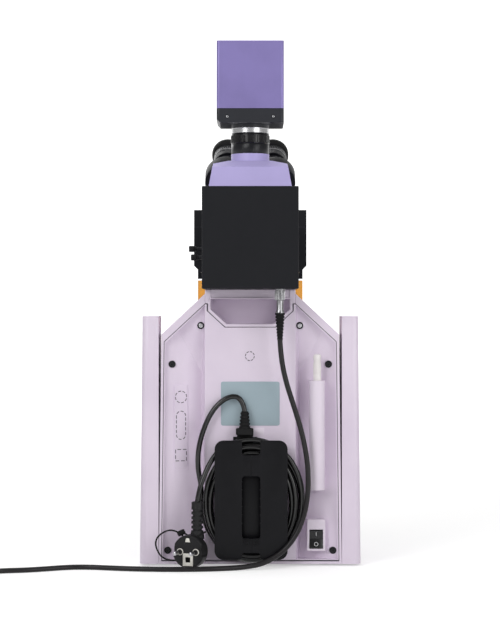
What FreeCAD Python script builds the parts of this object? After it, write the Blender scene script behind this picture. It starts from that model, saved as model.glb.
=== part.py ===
import FreeCAD, Part
import Sketcher
import math
import os
import re
from FreeCAD import Rotation, Vector

# Upright fluorescence microscope with a camera, as a bench instrument that comes apart.
# Lengths are millimetres and angles are degrees.
# X is to the operator's right, Y is to the rear and Z is up from the bench.
# While the pieces are made, Y is counted from the optical axis.

SIZES = {
    # clearances
    "gap": 0.3,
    "shaft_gap": 0.05,
    # stand
    "foot_height": 2.5,
    "foot_radius": 12,
    "foot_front_inset": 14,
    "foot_front_setback": 26,
    "foot_rear_inset": 12,
    "foot_rear_setback": 27,
    "base_top": 62,
    "base_roof": 8,
    "base_nose": -110,
    "base_taper": 10,
    "base_rear_inset": 8.1,
    "base_corner": 14,
    "base_waist": 20,
    "base_wall": 24,
    "column_front": 100,
    "column_inset_depth": 17,
    "column_inset": 0.9,
    "arm_half": 52.5,
    "bracket_height": 42,
    "bracket_rise": 87,
    "bracket_front": -45,
    "bracket_taper": 24,
    "light_bore": 14,
    "rail_half": 14,
    "rail_depth": 8,
    "rail_drop": 87,
    "rail_rise": 7,
    # carrying handle, a pocket in the back of the arm
    "grip_depth": 34,
    "grip_top_drop": 6,
    "grip_height": 29,
    "grip_inset": 6.7,
    "grip_bottom_half": 27.5,
    "grip_corner_drop": 12,
    "frame_outset": 4.1,
    "frame_width": 3.7,
    "frame_bottom_outset": 1.8,
    "frame_corner_drop": 1.8,
    "arm_panel_depth": 1.5,
    # rear housing and its cover
    "housing_depth": 65,
    "rear_plane": 205,
    "housing_wall": 3,
    "housing_lean": 3.1,
    "housing_foot_half": 106.1,
    "shoulder_slope": 47,
    "shoulder_drop": 28,
    "shoulder_band": 11.5,
    "cover_bottom": 7,
    "apex_width": 2.6,
    "panel_wall": 3,
    "valley_depth": 20,
    "rim_depth": 4,
    "valley_fade": 88.5,
    "valley_wall": 4.5,
    "rim_inset": 4.5,
    "rim_band": 1.2,
    "strip_width": 15.5,
    "strip_inset": 13.1,
    "strip_bottom": 111,
    "strip_top": 210,
    "strip_proud": 1,
    # side wings
    "wing_thickness": 19,
    "wing_splay": 3,
    "wing_top_drop": 26,
    "wing_round": 7,
    # cover fittings
    "screw_radius": 4,
    "screw_proud": 1,
    "screw_sunk": 2,
    "top_screw_outset": 5,
    "top_screw_drop": 37,
    "mid_screw_inset": 10.6,
    "mid_screw_drop": 82,
    "low_screw_inset": 10.1,
    "low_screw_z": 17.6,
    "label_half": 34,
    "label_bottom": 163,
    "label_top": 214,
    "label_thick": 0.6,
    "tag_half": 16.1,
    "tag_bottom": 160.5,
    "tag_height": 2.4,
    "holder_inset": 24.1,
    "holder_radius": 8.9,
    "holder_bottom": 89,
    "holder_top": 215.4,
    "holder_floor": 4,
    "driver_radius": 4.6,
    "driver_tip_radius": 1.5,
    "driver_top": 246,
    "driver_grip_bottom": 150,
    "switch_inset": 25.1,
    "switch_half": 10.5,
    "switch_bottom": 17.6,
    "switch_top": 54,
    "rocker_z": 31.2,
    "rocker_half_width": 7.6,
    "rocker_half_height": 10.5,
    "rocker_angle": 7,
    "inlet_x": 6,
    "inlet_half": 14,
    "inlet_bottom": 112,
    "inlet_height": 38,
    "inlet_depth": 13,
    "winder_x": -1,
    "winder_half": 42,
    "winder_bottom": 10,
    "winder_top": 147,
    "winder_rise": 22,
    "winder_thick": 4,
    "winder_corner": 10,
    "winder_hub_half": 36,
    "winder_hub_bottom": 46,
    "winder_hub_top": 112,
    "winder_notch_half": 10.5,
    "winder_notch_depth": 17,
    "winder_slot_bottom": 34,
    "winder_slot_top": 106,
    # inside the housing
    "supply_outset": 7.5,
    "supply_inset": 12.1,
    "supply_bottom": 30,
    "supply_top": 150,
    "supply_depth": 22,
    "lamp_socket_top": 52,
    "bulb_radius": 7,
    "bulb_length": 22,
    # light exit in the base
    "port_radius": 34,
    "port_height": 9,
    "port_tube_radius": 26,
    "port_tube_height": 19,
    "iris_ring_radius": 32,
    "iris_ring_height": 8,
    "port_lens_radius": 23,
    "port_lens_height": 4,
    "dimmer_radius": 12,
    "dimmer_length": 9,
    "dimmer_y": -52,
    "dimmer_z": 34,
    # focus drive
    "focus_back": 12,
    "focus_z": 95,
    "focus_boss_radius": 20,
    "focus_boss_end": 78,
    "coarse_radius": 24,
    "coarse_width": 22,
    "coarse_shaft": 8,
    "fine_radius": 17,
    "fine_width": 13,
    "fine_shaft": 4,
    # stage
    "stage_surface": 215,
    "stage_thick": 8.7,
    "stage_half": 90,
    "stage_front": -85,
    "stage_back": 62,
    "stage_corner": 10,
    "stage_slot_half": 16,
    "stage_slot_reach": 40,
    "carrier_thick": 10,
    "carrier_half": 62,
    "carrier_front": -56,
    "carrier_hole": 33,
    "carrier_back_thick": 14,
    "carrier_back_half": 26,
    "carrier_back_drop": 75,
    "holder_bar_half": 50,
    "holder_bar_front": 34,
    "holder_bar_back": 46,
    "holder_bar_height": 6,
    "jaw_inner": 40,
    "jaw_outer": 49,
    "jaw_front": -14,
    "jaw_thick": 2.5,
    "finger_pivot_y": 26,
    "finger_radius": 5,
    "stage_knob_x": 78,
    "stage_knob_y": 20,
    "stage_boss_radius": 9,
    "stage_boss_drop": 25,
    "upper_knob_radius": 13,
    "upper_knob_height": 15,
    "lower_knob_radius": 11,
    "lower_knob_height": 22,
    "stage_shaft": 4,
    # condenser
    "condenser_radius": 28,
    "condenser_drop": 51,
    "condenser_shoulder_drop": 23,
    "condenser_neck_radius": 18,
    "condenser_tip_drop": 9,
    "condenser_lens_radius": 10,
    "condenser_lens_height": 5,
    "condenser_ring_radius": 35,
    "condenser_ring_drop": 41,
    "condenser_ring_height": 12,
    "slide_block_half": 20,
    "slide_block_length": 32,
    "slide_block_drop": 63,
    "aperture_ring_height": 6,
    "aperture_ring_proud": 3,
    "aperture_handle": 46,
    "lift_knob_radius": 6.5,
    "lift_knob_length": 16,
    "lift_knob_drop": 57,
    # nosepiece and objectives
    "specimen_rise": 2,
    "parfocal": 45,
    "nose_tilt": 16,
    "nose_circle": 28,
    "nose_radius": 45,
    "nose_thick": 16,
    "nose_mount_radius": 36,
    "objective_thread": 10,
    "objective_body": 13.5,
    "objective_sleeve": 12,
    "objective_tip": 5,
    "objective_sleeve_start": 8,
    "objective_nose": 9,
    # fluorescence attachment
    "unit_half": 69.5,
    "unit_front": -82,
    "unit_back": 60,
    "unit_rise": 56,
    "unit_lid_rise": 21,
    "unit_wall": 6,
    "unit_chamfer": 8,
    "beam_rise": 35.5,
    "wheel_offset": 30,
    "wheel_radius": 58,
    "wheel_thick": 6,
    "wheel_rise": 2,
    "wheel_hub": 12,
    "cube_half": 13,
    "cube_height": 34,
    "wheel_slot_half": 40,
    "tube_block_half": 36,
    "tube_block_clear": 1.5,
    "tube_block_length": 80,
    "tube_radius": 30,
    "tube_flange_clear": 0.5,
    "tube_flange_thick": 8,
    "tube_bore": 22,
    "rod_radius": 2.5,
    "rod_knob_radius": 3.75,
    "rod_knob_length": 9,
    "rod_inner_end": 24,
    "upper_rod_back": 24,
    "upper_rod_drop": 7.5,
    "upper_rod_end": 75,
    "lower_rod_back": 44,
    "lower_rod_drop": 18.5,
    "lower_rod_end": 72,
    "shield_inset": 1.5,
    "shield_thick": 3,
    "shield_setback": 20.5,
    "shield_drop": 100,
    "shield_top_drop": 3,
    "shield_pivot_drop": 4,
    "shield_barrel": 3,
    "shield_lug": 5,
    # lamp house
    "lamp_half": 54.75,
    "lamp_lap": 10,
    "lamp_depth": 70,
    "lamp_drop": 23,
    "lamp_height": 116,
    "lamp_wall": 4,
    "lamp_edge": 1.2,
    "module_half": 30,
    "module_thick": 24,
    "module_stem": 12,
    "lamp_plug_x": -34,
    "lamp_plug_y": 232,
    # viewing head
    "head_half": 51.5,
    "head_top_half": 46,
    "head_ridge_half": 27,
    "head_ridge_drop": 4.7,
    "head_back": 60,
    "head_back_rise": 53.5,
    "head_rise": 63,
    "head_top_back": 35,
    "collar_radius": 24.2,
    "collar_rise": 10.4,
    "eye_tilt": 30,
    "eye_line_rise": 7,
    "eye_spacing": 60,
    "eye_arm": 37.5,
    "prism_start": 62,
    "prism_thick": 24,
    "prism_radius": 26.5,
    "prism_offset": 2,
    "prism_rise": 3.5,
    "hinge_hub": 13,
    "hinge_layer": 8,
    "eye_tube_radius": 15.5,
    "eye_tube_end": 122,
    "eyepiece_start": 112,
    "eyepiece_end": 161.7,
    "eyepiece_radius": 18.5,
    "eyecup_radius": 21,
    "eyecup_length": 14,
    "eye_lens_radius": 11,
    # camera and its port
    "port_ring_radius": 24,
    "port_ring_rise": 12.9,
    "grip_ring_radius": 24.7,
    "grip_ring_height": 12.4,
    "port_inner": 17,
    "camera_flange_height": 11.2,
    "camera_base_height": 17.5,
    "camera_height": 84.6,
    "camera_half": 42,
    "camera_round": 3.5,
    "camera_chamfer": 4,
    # leads
    "cord_radius": 3,
    "boot_bottom": 160.5,
    "boot_top": 180,
    "boot_radius": 6.4,
    "boot_x": 6.4,
    "lead_y": 212.5,
    "winding_x": -0.6,
    "winding_z": 80,
    "winding_half": 60,
    "winding_half_height": 73,
    "winding_width": 18,
    "winding_rise": 3.8,
    "plug_x": 65,
    "plug_z": 21,
    "plug_y": 224,
    "plug_radius": 19.2,
    "plug_thick": 20,
    "plug_pin_radius": 2.4,
    "plug_pin_length": 19,
    "plug_pin_spacing": 9.5,
    "coil_x": 335,
    "coil_y": 262,
    "coil_outer": 41.5,
    "coil_inner": 26,
    "coil_height": 14,
    "far_plug_start": 234,
    "far_plug_length": 44,
    "far_plug_radius": 6.2,
    "relief_radius": 5.6,
    "neck_radius": 4.2,
    "neck_drop": 27.5,
    "grip_drop": 13.5,
    "plug_yaw": 18,
    "loop_outset": 25.7,
    "loop_setback": 5.4,
    "loop_rise": 4.6,
    "loop_radius": 17.7,
    "loop_thick": 1.5,
}

# Places and sizes that are counted from another: its name, the sign and the distance.
LINKS = {
    "specimen_height": ("stage_surface", "+", "specimen_rise"),
    "condenser_bottom": ("stage_surface", "-", "condenser_drop"),
    "condenser_shoulder": ("stage_surface", "-", "condenser_shoulder_drop"),
    "condenser_tip": ("stage_surface", "-", "condenser_tip_drop"),
    "condenser_ring_bottom": ("stage_surface", "-", "condenser_ring_drop"),
    "slide_block_bottom": ("stage_surface", "-", "slide_block_drop"),
    "carrier_back_bottom": ("stage_surface", "-", "carrier_back_drop"),
    "lift_knob_z": ("stage_surface", "-", "lift_knob_drop"),
    "stage_boss_bottom": ("stage_surface", "-", "stage_boss_drop"),
    "rail_top": ("stage_surface", "+", "rail_rise"),
    "rail_bottom": ("stage_surface", "-", "rail_drop"),
    "bracket_bottom": ("stage_surface", "+", "bracket_rise"),
    "arm_top": ("bracket_bottom", "+", "bracket_height"),
    "unit_split": ("arm_top", "+", "unit_rise"),
    "unit_top": ("unit_split", "+", "unit_lid_rise"),
    "beam_height": ("arm_top", "+", "beam_rise"),
    "upper_rod_z": ("beam_height", "-", "upper_rod_drop"),
    "lower_rod_z": ("beam_height", "-", "lower_rod_drop"),
    "tube_block_drop": ("beam_rise", "-", "tube_block_clear"),
    "tube_flange_radius": ("beam_rise", "-", "tube_flange_clear"),
    "shield_bottom": ("arm_top", "-", "shield_drop"),
    "shield_top": ("arm_top", "-", "shield_top_drop"),
    "shield_pivot_z": ("arm_top", "-", "shield_pivot_drop"),
    "lamp_bottom": ("arm_top", "-", "lamp_drop"),
    "lamp_top": ("lamp_bottom", "+", "lamp_height"),
    "eye_line": ("unit_top", "+", "eye_line_rise"),
    "head_back_top": ("unit_top", "+", "head_back_rise"),
    "head_top": ("unit_top", "+", "head_rise"),
    "collar_top": ("head_top", "+", "collar_rise"),
    "grip_ring_bottom": ("collar_top", "+", "port_ring_rise"),
    "grip_ring_top": ("grip_ring_bottom", "+", "grip_ring_height"),
    "camera_flange_bottom": ("grip_ring_top", "+", "gap"),
    "camera_bottom": ("camera_flange_bottom", "+", "camera_flange_height"),
    "camera_split": ("camera_bottom", "+", "camera_base_height"),
    "camera_top": ("camera_split", "+", "camera_height"),
    "shoulder_high": ("arm_top", "-", "shoulder_drop"),
    "shoulder_low": ("shoulder_high", "-", "shoulder_slope"),
    "grip_top": ("shoulder_high", "-", "grip_top_drop"),
    "grip_bottom": ("grip_top", "-", "grip_height"),
    "grip_corner": ("grip_top", "-", "grip_corner_drop"),
    "frame_bottom": ("grip_bottom", "-", "frame_width"),
    "frame_corner": ("grip_corner", "-", "frame_corner_drop"),
    "wing_top": ("shoulder_high", "-", "wing_top_drop"),
    "top_screw_z": ("shoulder_high", "-", "top_screw_drop"),
    "mid_screw_z": ("shoulder_high", "-", "mid_screw_drop"),
    "housing_top_half": ("housing_foot_half", "-", "housing_lean"),
    "base_rear_half": ("housing_foot_half", "-", "base_rear_inset"),
    "base_half": ("base_rear_half", "-", "base_taper"),
    "foot_rear_x": ("base_rear_half", "-", "foot_rear_inset"),
    "foot_front_x": ("base_half", "-", "foot_front_inset"),
    "rim_half": ("housing_foot_half", "-", "rim_inset"),
    "strip_outer": ("rim_half", "-", "strip_inset"),
    "strip_inner": ("strip_outer", "-", "strip_width"),
    "mid_screw_x": ("rim_half", "-", "mid_screw_inset"),
    "low_screw_x": ("housing_foot_half", "-", "low_screw_inset"),
    "top_screw_x": ("panel_half", "+", "top_screw_outset"),
    "holder_x": ("-rim_half", "+", "holder_inset"),
    "switch_x": ("-rim_half", "+", "switch_inset"),
    "supply_outer": ("housing_foot_half", "-", "supply_inset"),
    "supply_inner": ("arm_half", "+", "supply_outset"),
    "grip_half": ("arm_half", "-", "grip_inset"),
    "frame_half": ("grip_half", "+", "frame_outset"),
    "panel_half": ("frame_half", "+", "apex_width"),
    "shield_half": ("unit_half", "-", "shield_inset"),
    "frame_bottom_half": ("grip_bottom_half", "+", "frame_bottom_outset"),
    "column_inner_half": ("frame_half", "-", "column_inset"),
    "housing_front": ("rear_plane", "-", "housing_depth"),
    "column_back": ("rear_plane", "-", "column_inset_depth"),
    "lamp_front": ("rear_plane", "-", "lamp_lap"),
    "lamp_back": ("lamp_front", "+", "lamp_depth"),
    "winder_face": ("rear_plane", "+", "winder_rise"),
    "winding_front": ("rear_plane", "+", "winding_rise"),
    "foot_rear_y": ("rear_plane", "-", "foot_rear_setback"),
    "foot_front_y": ("base_nose", "+", "foot_front_setback"),
    "tube_block_end": ("unit_back", "+", "tube_block_length"),
    "upper_rod_y": ("unit_back", "+", "upper_rod_back"),
    "lower_rod_y": ("unit_back", "+", "lower_rod_back"),
    "shield_y": ("unit_front", "+", "shield_setback"),
    "focus_y": ("column_front", "+", "focus_back"),
    "slide_block_front": ("column_front", "-", "slide_block_length"),
}

doc = FreeCAD.newDocument("microscope")
sheet = doc.addObject("Spreadsheet::Sheet", "Sizes")
for row, (name, value) in enumerate(SIZES.items(), start=1):
    sheet.set(f"A{row}", name)
    sheet.set(f"B{row}", str(value))
    sheet.setAlias(f"B{row}", name)
doc.recompute()

parts = {}


def size(name):
    """The value of a named size, or of what is counted from one."""
    if name.startswith("-"):
        return -size(name[1:])
    if name not in LINKS:
        return float(sheet.get(name))
    start, sign, distance = LINKS[name]
    return size(start) + (size(distance) if sign == "+" else -size(distance))


def formula(text):
    """A formula of size names, as the document's expressions want it."""
    def cell(found):
        word = found.group(0)
        if word in LINKS:
            return "(" + formula("".join(LINKS[word])) + ")"
        return "Sizes." + word if word in SIZES else word
    return re.sub(r"[a-z_]+", cell, str(text))


def bind(thing, prop, text):
    thing.setExpression(prop, formula(text))


def keep(label, thing):
    """Names a finished sub-part, free to be placed."""
    thing = group(thing) if thing.ExpressionEngine else thing
    thing.Label = label
    parts[label] = thing
    return thing


def block(x, y, z):
    """A block between two places on each axis."""
    made = doc.addObject("Part::Box", "Block")
    for prop, axis, (low, high) in zip(("Length", "Width", "Height"), "xyz", (x, y, z)):
        bind(made, prop, f"({high})-({low})")
        bind(made, f"Placement.Base.{axis}", low)
    return made


AIM = {
    "x": Rotation(Vector(0, 0, 1), Vector(1, 0, 0)),
    "y": Rotation(Vector(0, 0, 1), Vector(0, 1, 0)),
    "z": Rotation(),
}


def along(made, axis, start, centre):
    """Puts a round solid, made up from its foot, on a line along one axis."""
    made.Placement.Rotation = AIM[axis]
    others = [name for name in "xyz" if name != axis]
    bind(made, f"Placement.Base.{axis}", start)
    for name, place in zip(others, centre):
        bind(made, f"Placement.Base.{name}", place)
    return made


def rod(axis, radius, start, end, centre=(0, 0)):
    """A round bar; its centre gives the two other places, in X, Y, Z order."""
    made = doc.addObject("Part::Cylinder", "Rod")
    bind(made, "Radius", radius)
    bind(made, "Height", f"({end})-({start})")
    return along(made, axis, start, centre)


def cone(axis, radius, end_radius, start, end, centre=(0, 0)):
    made = doc.addObject("Part::Cone", "Cone")
    bind(made, "Radius1", radius)
    bind(made, "Radius2", end_radius)
    bind(made, "Height", f"({end})-({start})")
    return along(made, axis, start, centre)


def fuse(*shapes):
    made = doc.addObject("Part::MultiFuse", "Joined")
    made.Shapes = list(shapes)
    return made


def common(first, second):
    made = doc.addObject("Part::MultiCommon", "Shared")
    made.Shapes = [first, second]
    return made


def cut(base, *tools):
    made = doc.addObject("Part::Cut", "Cut")
    made.Base = base
    made.Tool = tools[0] if len(tools) == 1 else fuse(*tools)
    return made


def group(*shapes):
    """Separate solids that share one sub-part."""
    made = doc.addObject("Part::Compound", "Group")
    made.Links = list(shapes)
    return made


def placed(thing, x=0, y=0, z=0, axis=(0, 0, 1), angle=0):
    """The same piece turned about an axis through its origin and moved."""
    made = group(thing)
    made.Placement.Rotation = Rotation(Vector(*axis), 1)
    bind(made, "Placement.Rotation.Angle", angle)
    for name, place in zip("xyz", (x, y, z)):
        bind(made, f"Placement.Base.{name}", place)
    return made


def mirrored(thing):
    """The same piece on the other side of the middle plane."""
    made = doc.addObject("Part::Mirroring", "Mirrored")
    made.Source = thing
    made.Normal = Vector(1, 0, 0)
    return made


def outline(body, plane, points):
    """A closed sketch of straight lines with a formula for each corner's two places."""
    base = [item for item in body.Origin.OriginFeatures if item.Role == plane][0]
    sketch = body.newObject("Sketcher::SketchObject", "Outline")
    sketch.AttachmentSupport = (base, "")
    sketch.MapMode = "FlatFace"
    count = len(points)
    # the lines start as a regular polygon, and the formulas move its corners
    turns = [2 * math.pi * corner / count for corner in range(count)]
    corners = [(size("arm_half") * math.cos(turn), size("arm_half") * math.sin(turn)) for turn in turns]
    for (ax, ay), (bx, by) in zip(corners, corners[1:] + corners[:1]):
        sketch.addGeometry(Part.LineSegment(Vector(ax, ay, 0), Vector(bx, by, 0)), False)
    for line in range(count):
        sketch.addConstraint(Sketcher.Constraint("Coincident", line, 2, (line + 1) % count, 1))
    for line, (place, start) in enumerate(zip(points, corners)):
        for kind, text, value in zip(("DistanceX", "DistanceY"), place, start):
            index = sketch.addConstraint(Sketcher.Constraint(kind, -1, 1, line, 1, value))
            bind(sketch, f"Constraints[{index}]", text)
    return sketch


def prism(plane, points, low, high):
    """A straight solid on an outline; low and high lie along the plane's third axis."""
    body = doc.addObject("PartDesign::Body", "Prism")
    sketch = outline(body, plane, points)
    pad = body.newObject("PartDesign::Pad", "Pad")
    pad.Profile = sketch
    bind(pad, "Length", f"({high})-({low})")
    backwards = plane == "XZ_Plane"
    pad.Reversed = backwards
    sign = "-1" if backwards else "1"
    bind(sketch, "AttachmentOffset.Base.z", f"{sign}*({low})")
    return body


def turned(points):
    """A turned solid about Z; each point is a radius and a height."""
    body = doc.addObject("PartDesign::Body", "Turned")
    sketch = outline(body, "XZ_Plane", points)
    spin = body.newObject("PartDesign::Revolution", "Revolution")
    spin.Profile = sketch
    spin.ReferenceAxis = (sketch, ["V_Axis"])
    spin.Angle = 360
    return body


def rounded(base, radius, wanted):
    """Rounds the edges that a test picks."""
    doc.recompute()
    made = doc.addObject("Part::Fillet", "Rounded")
    made.Base = base
    amount = size(radius)
    made.Edges = [(number, amount, amount)
                  for number, edge in enumerate(base.Shape.Edges, start=1) if wanted(edge)]
    return made


def runs_along(axis, test=None):
    """A test for straight edges along one axis, and for a place of their middle."""
    direction = {"x": Vector(1, 0, 0), "y": Vector(0, 1, 0), "z": Vector(0, 0, 1)}[axis]

    def wanted(edge):
        if edge.Curve.TypeId != "Part::GeomLine":
            return False
        if abs(edge.tangentAt(edge.FirstParameter).dot(direction)) < 0.999:
            return False
        return test is None or test(edge.CenterOfMass)
    return wanted


# Stand: base, feet and arm

def make_base():
    corner = "base_half-base_corner"
    plan = [("-base_rear_half", "housing_front"), ("-base_rear_half", "base_waist"),
            ("-base_half", "base_nose+2*base_corner"), (f"-({corner})", "base_nose"),
            (corner, "base_nose"), ("base_half", "base_nose+2*base_corner"),
            ("base_rear_half", "base_waist"),
            ("base_rear_half", "housing_front")]
    shell = prism("XY_Plane", plan, "foot_height", "base_top")
    inner = "base_half-base_wall"
    hollow = block((f"-({inner})", inner), ("base_nose+base_wall", "housing_front-base_roof"),
                   ("foot_height-1", "base_top-base_roof"))
    light = rod("z", "light_bore", "base_top-base_roof-1", "base_top+1")
    dimmer = rod("x", "fine_shaft+gap", "-base_half-base_corner", f"1-({inner})",
                 ("dimmer_y", "dimmer_z"))
    keep("base_casting", cut(shell, hollow, light, dimmer))


def make_feet():
    feet = []
    for side in ("", "-"):
        for x, y in (("foot_front_x", "foot_front_y"), ("foot_rear_x", "foot_rear_y")):
            feet.append(rod("z", "foot_radius", 0, "foot_height", (side + x, y)))
    keep("rubber_feet", group(*feet))


def make_arm():
    side = [("column_front", "base_top"), ("column_front", "bracket_bottom"),
            ("bracket_front", "bracket_bottom"), ("bracket_front", "arm_top"),
            ("lamp_front-gap", "arm_top"), ("lamp_front-gap", "lamp_bottom-gap"),
            ("rear_plane", "lamp_bottom-gap"), ("rear_plane", "frame_bottom"),
            ("column_back", "frame_bottom"), ("column_back", "base_top")]
    column = prism("YZ_Plane", side, "-arm_half", "arm_half")
    rail = block(("-rail_half", "rail_half"), ("column_front-rail_depth", "column_front+1"),
                 ("rail_bottom", "rail_top"))
    boss = rod("x", "focus_boss_radius", "-focus_boss_end", "focus_boss_end", ("focus_y", "focus_z"))
    reliefs = []
    shoulder_seam = "shoulder_high-shoulder_band"
    for low, high in (("-arm_half-1", "-column_inner_half"), ("column_inner_half", "arm_half+1")):
        reliefs.append(block((low, high), ("housing_front+housing_wall", "rear_plane+1"),
                             ("base_top-1", shoulder_seam)))
    corner = [("frame_bottom_half", "frame_bottom-1"), ("frame_bottom_half", "frame_bottom"),
              ("frame_half", "frame_corner"), ("frame_half", shoulder_seam),
              ("arm_half+1", shoulder_seam), ("arm_half+1", "frame_bottom-1")]
    notch = prism("XZ_Plane", corner, "column_back", "rear_plane+1")
    taper_plan = [("arm_half+1", "bracket_front-1"), ("arm_half-bracket_taper", "bracket_front-1"),
                  ("arm_half+1", "bracket_front+bracket_taper*1.5")]
    taper = prism("XY_Plane", taper_plan, "bracket_bottom-1", "arm_top+1")
    pocket_face = [("-grip_bottom_half", "grip_bottom"), ("grip_bottom_half", "grip_bottom"),
                   ("grip_half", "grip_corner"), ("grip_half", "grip_top"),
                   ("-grip_half", "grip_top"), ("-grip_half", "grip_corner")]
    grip = prism("XZ_Plane", pocket_face, "rear_plane-grip_depth", "rear_plane+1")
    panel = block(("-grip_half", "grip_half"), ("rear_plane-arm_panel_depth", "rear_plane+1"),
                  ("grip_top+arm_panel_depth", "lamp_bottom"))
    light = rod("z", "light_bore", "bracket_bottom-1", "arm_top+1")
    shaft = rod("x", "coarse_shaft+shaft_gap", "-focus_boss_end-1", "focus_boss_end+1",
                ("focus_y", "focus_z"))
    tools = reliefs + [notch, mirrored(notch), taper, mirrored(taper), grip, panel, light, shaft]
    keep("arm_casting", cut(fuse(column, rail, boss), *tools))


# Rear housing, its cover and the side wings

def housing_outline(inset="0", foot="foot_height", band="0"):
    """The outline seen from behind, drawn in by an inset; band lowers the shoulders."""
    right = [(f"housing_foot_half-({inset})", foot),
             (f"housing_top_half-({inset})", f"shoulder_low-({band})*0.75"),
             ("panel_half", f"shoulder_high-({band})")]
    return right + [(f"-({x})", z) for x, z in reversed(right)]


def make_housing():
    shell = prism("XZ_Plane", housing_outline(), "housing_front", "rear_plane")
    cavity = prism("XZ_Plane", housing_outline("housing_wall", "foot_height+housing_wall", "shoulder_band"),
                   "housing_front+housing_wall", "rear_plane+1")
    slot = block(("-arm_half", "arm_half"), ("housing_front-1", "rear_plane+1"),
                 ("base_top", "shoulder_high+1"))
    keep("rear_housing", cut(shell, cavity, slot))


def cover_outline(inset="0"):
    """The cover inside the housing's edge, open at the top for the handle's frame."""
    edge = f"housing_wall+gap+({inset})"
    top = f"shoulder_high-shoulder_band-gap*2-({inset})"
    right = [(f"housing_foot_half-({edge})", f"cover_bottom+({inset})"),
             (f"housing_top_half-({edge})", f"shoulder_low-shoulder_band*0.75-gap-({inset})"),
             ("panel_half", top),
             ("frame_half+gap", top),
             ("frame_half+gap", "frame_corner-gap"),
             ("frame_bottom_half+gap", "frame_bottom-gap")]
    return right + [(f"-({x})", z) for x, z in reversed(right)]


def valley():
    """One side bay of the cover: it gets deeper inwards, up to the leaning wall of the middle panel."""
    back = "rear_plane+1"
    foot = "panel_half+valley_wall"
    return [(foot, slope_y(foot, "0")), ("rim_half", "rear_plane-rim_depth"), ("rim_half", back),
            ("panel_half", back), ("panel_half", "rear_plane")]


def valley_top():
    """A bay's floor seen from the side: it comes up to the rim under the shoulder."""
    deep, shallow, back = "rear_plane-valley_depth", "rear_plane-rim_depth", "rear_plane+1"
    apex = "shoulder_high-shoulder_band"
    return [(deep, 0), (deep, f"{apex}-valley_fade"), (shallow, apex), (back, apex), (back, 0)]


def fade_y(z):
    """Where the rising end of a bay's floor lies at a height z."""
    rise = "(valley_depth-rim_depth)/valley_fade"
    return f"rear_plane-rim_depth-(shoulder_high-shoulder_band-({z}))*{rise}"


def slope_tool():
    """All that lies under the sloping face of the left bay."""
    face = [("-panel_half", "rear_plane-valley_depth+shaft_gap"),
            ("-rim_half", "rear_plane-rim_depth+shaft_gap"),
            ("-rim_half", "housing_front"), ("-panel_half", "housing_front")]
    return prism("XY_Plane", face, 0, "shoulder_high")


def make_cover():
    deepest = "rear_plane-valley_depth-panel_wall"
    slab = prism("XZ_Plane", cover_outline(), deepest, "rear_plane")
    bay_plan = prism("XY_Plane", valley(), 0, "shoulder_high")
    bay_face = [("panel_half", "cover_bottom+rim_band"), *cover_outline("rim_band")[:3]]
    bay_block = prism("XZ_Plane", bay_face, "housing_front", "rear_plane+1")
    bay = common(common(bay_plan, bay_block), prism("YZ_Plane", valley_top(), 0, "rim_half+1"))
    inner_plan = [("panel_half+panel_wall", f"{deepest}-1"), ("rim_half-panel_wall", f"{deepest}-1"),
                  ("rim_half-panel_wall", "rear_plane-rim_depth-panel_wall*1.4"),
                  ("panel_half+panel_wall", "rear_plane-valley_depth-panel_wall*0.6")]
    inner_face = [("panel_half+panel_wall", "cover_bottom+panel_wall"),
                  ("rim_half-panel_wall", "cover_bottom+panel_wall"),
                  ("rim_half-panel_wall-housing_lean", "shoulder_low-shoulder_band*0.75-panel_wall*2"),
                  ("panel_half+panel_wall", "shoulder_high-shoulder_band-panel_wall*3")]
    inner = common(prism("XY_Plane", inner_plan, 0, "shoulder_high"),
                   prism("XZ_Plane", inner_face, "housing_front", "rear_plane"))
    middle = block(("-panel_half+panel_wall", "panel_half-panel_wall"),
                   (f"{deepest}-1", "rear_plane-panel_wall"),
                   ("cover_bottom+panel_wall", "frame_bottom-gap-panel_wall"))
    over_arm = block(("-column_inner_half-gap", "column_inner_half+gap"),
                     (f"{deepest}-1", "column_back+gap"), ("base_top", "shoulder_high"))
    inlet = block(("inlet_x-inlet_half", "inlet_x+inlet_half"),
                  ("rear_plane-panel_wall-1", "rear_plane+1"),
                  ("inlet_bottom", "inlet_bottom+inlet_height"))
    switch = block(("switch_x-rocker_half_width-gap", "switch_x+rocker_half_width+gap"),
                   (f"{deepest}-1", "rear_plane+1"),
                   ("rocker_z-rocker_half_height-gap", "rocker_z+rocker_half_height+gap"))
    strip_plan = [("strip_inner", slope_y("strip_inner", "0")), ("strip_outer", slope_y("strip_outer", "0")),
                  ("strip_outer", slope_y("strip_outer", "strip_proud")),
                  ("strip_inner", slope_y("strip_inner", "strip_proud"))]
    strip = prism("XY_Plane", strip_plan, "strip_bottom", "strip_top")
    hollowed = cut(slab, bay, mirrored(bay), inner, mirrored(inner), middle, over_arm, inlet, switch)
    wells = [rod("y", "screw_radius+gap", f"{face}-screw_sunk", "rear_plane+1", (x, z))
             for x, z, face in screw_places()]
    keep("rear_cover", cut(fuse(hollowed, strip), *wells))


def screw_places():
    """Across, height and face of each cover screw."""
    places = []
    for side in ("", "-"):
        for x, z, face in (("top_screw_x", "top_screw_z", fade_y("top_screw_z")),
                           ("mid_screw_x", "mid_screw_z", slope_y("mid_screw_x", "0")),
                           ("low_screw_x", "low_screw_z", slope_y("low_screw_x", "0"))):
            places.append((side + x, z, face))
    return places


def slope_y(x, proud):
    """Where the sloping face of a bay lies at a distance x from the middle."""
    rise = "(valley_depth-rim_depth)/(rim_half-panel_half)"
    return f"rear_plane-valley_depth+(({x})-panel_half)*{rise}+({proud})"


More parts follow.
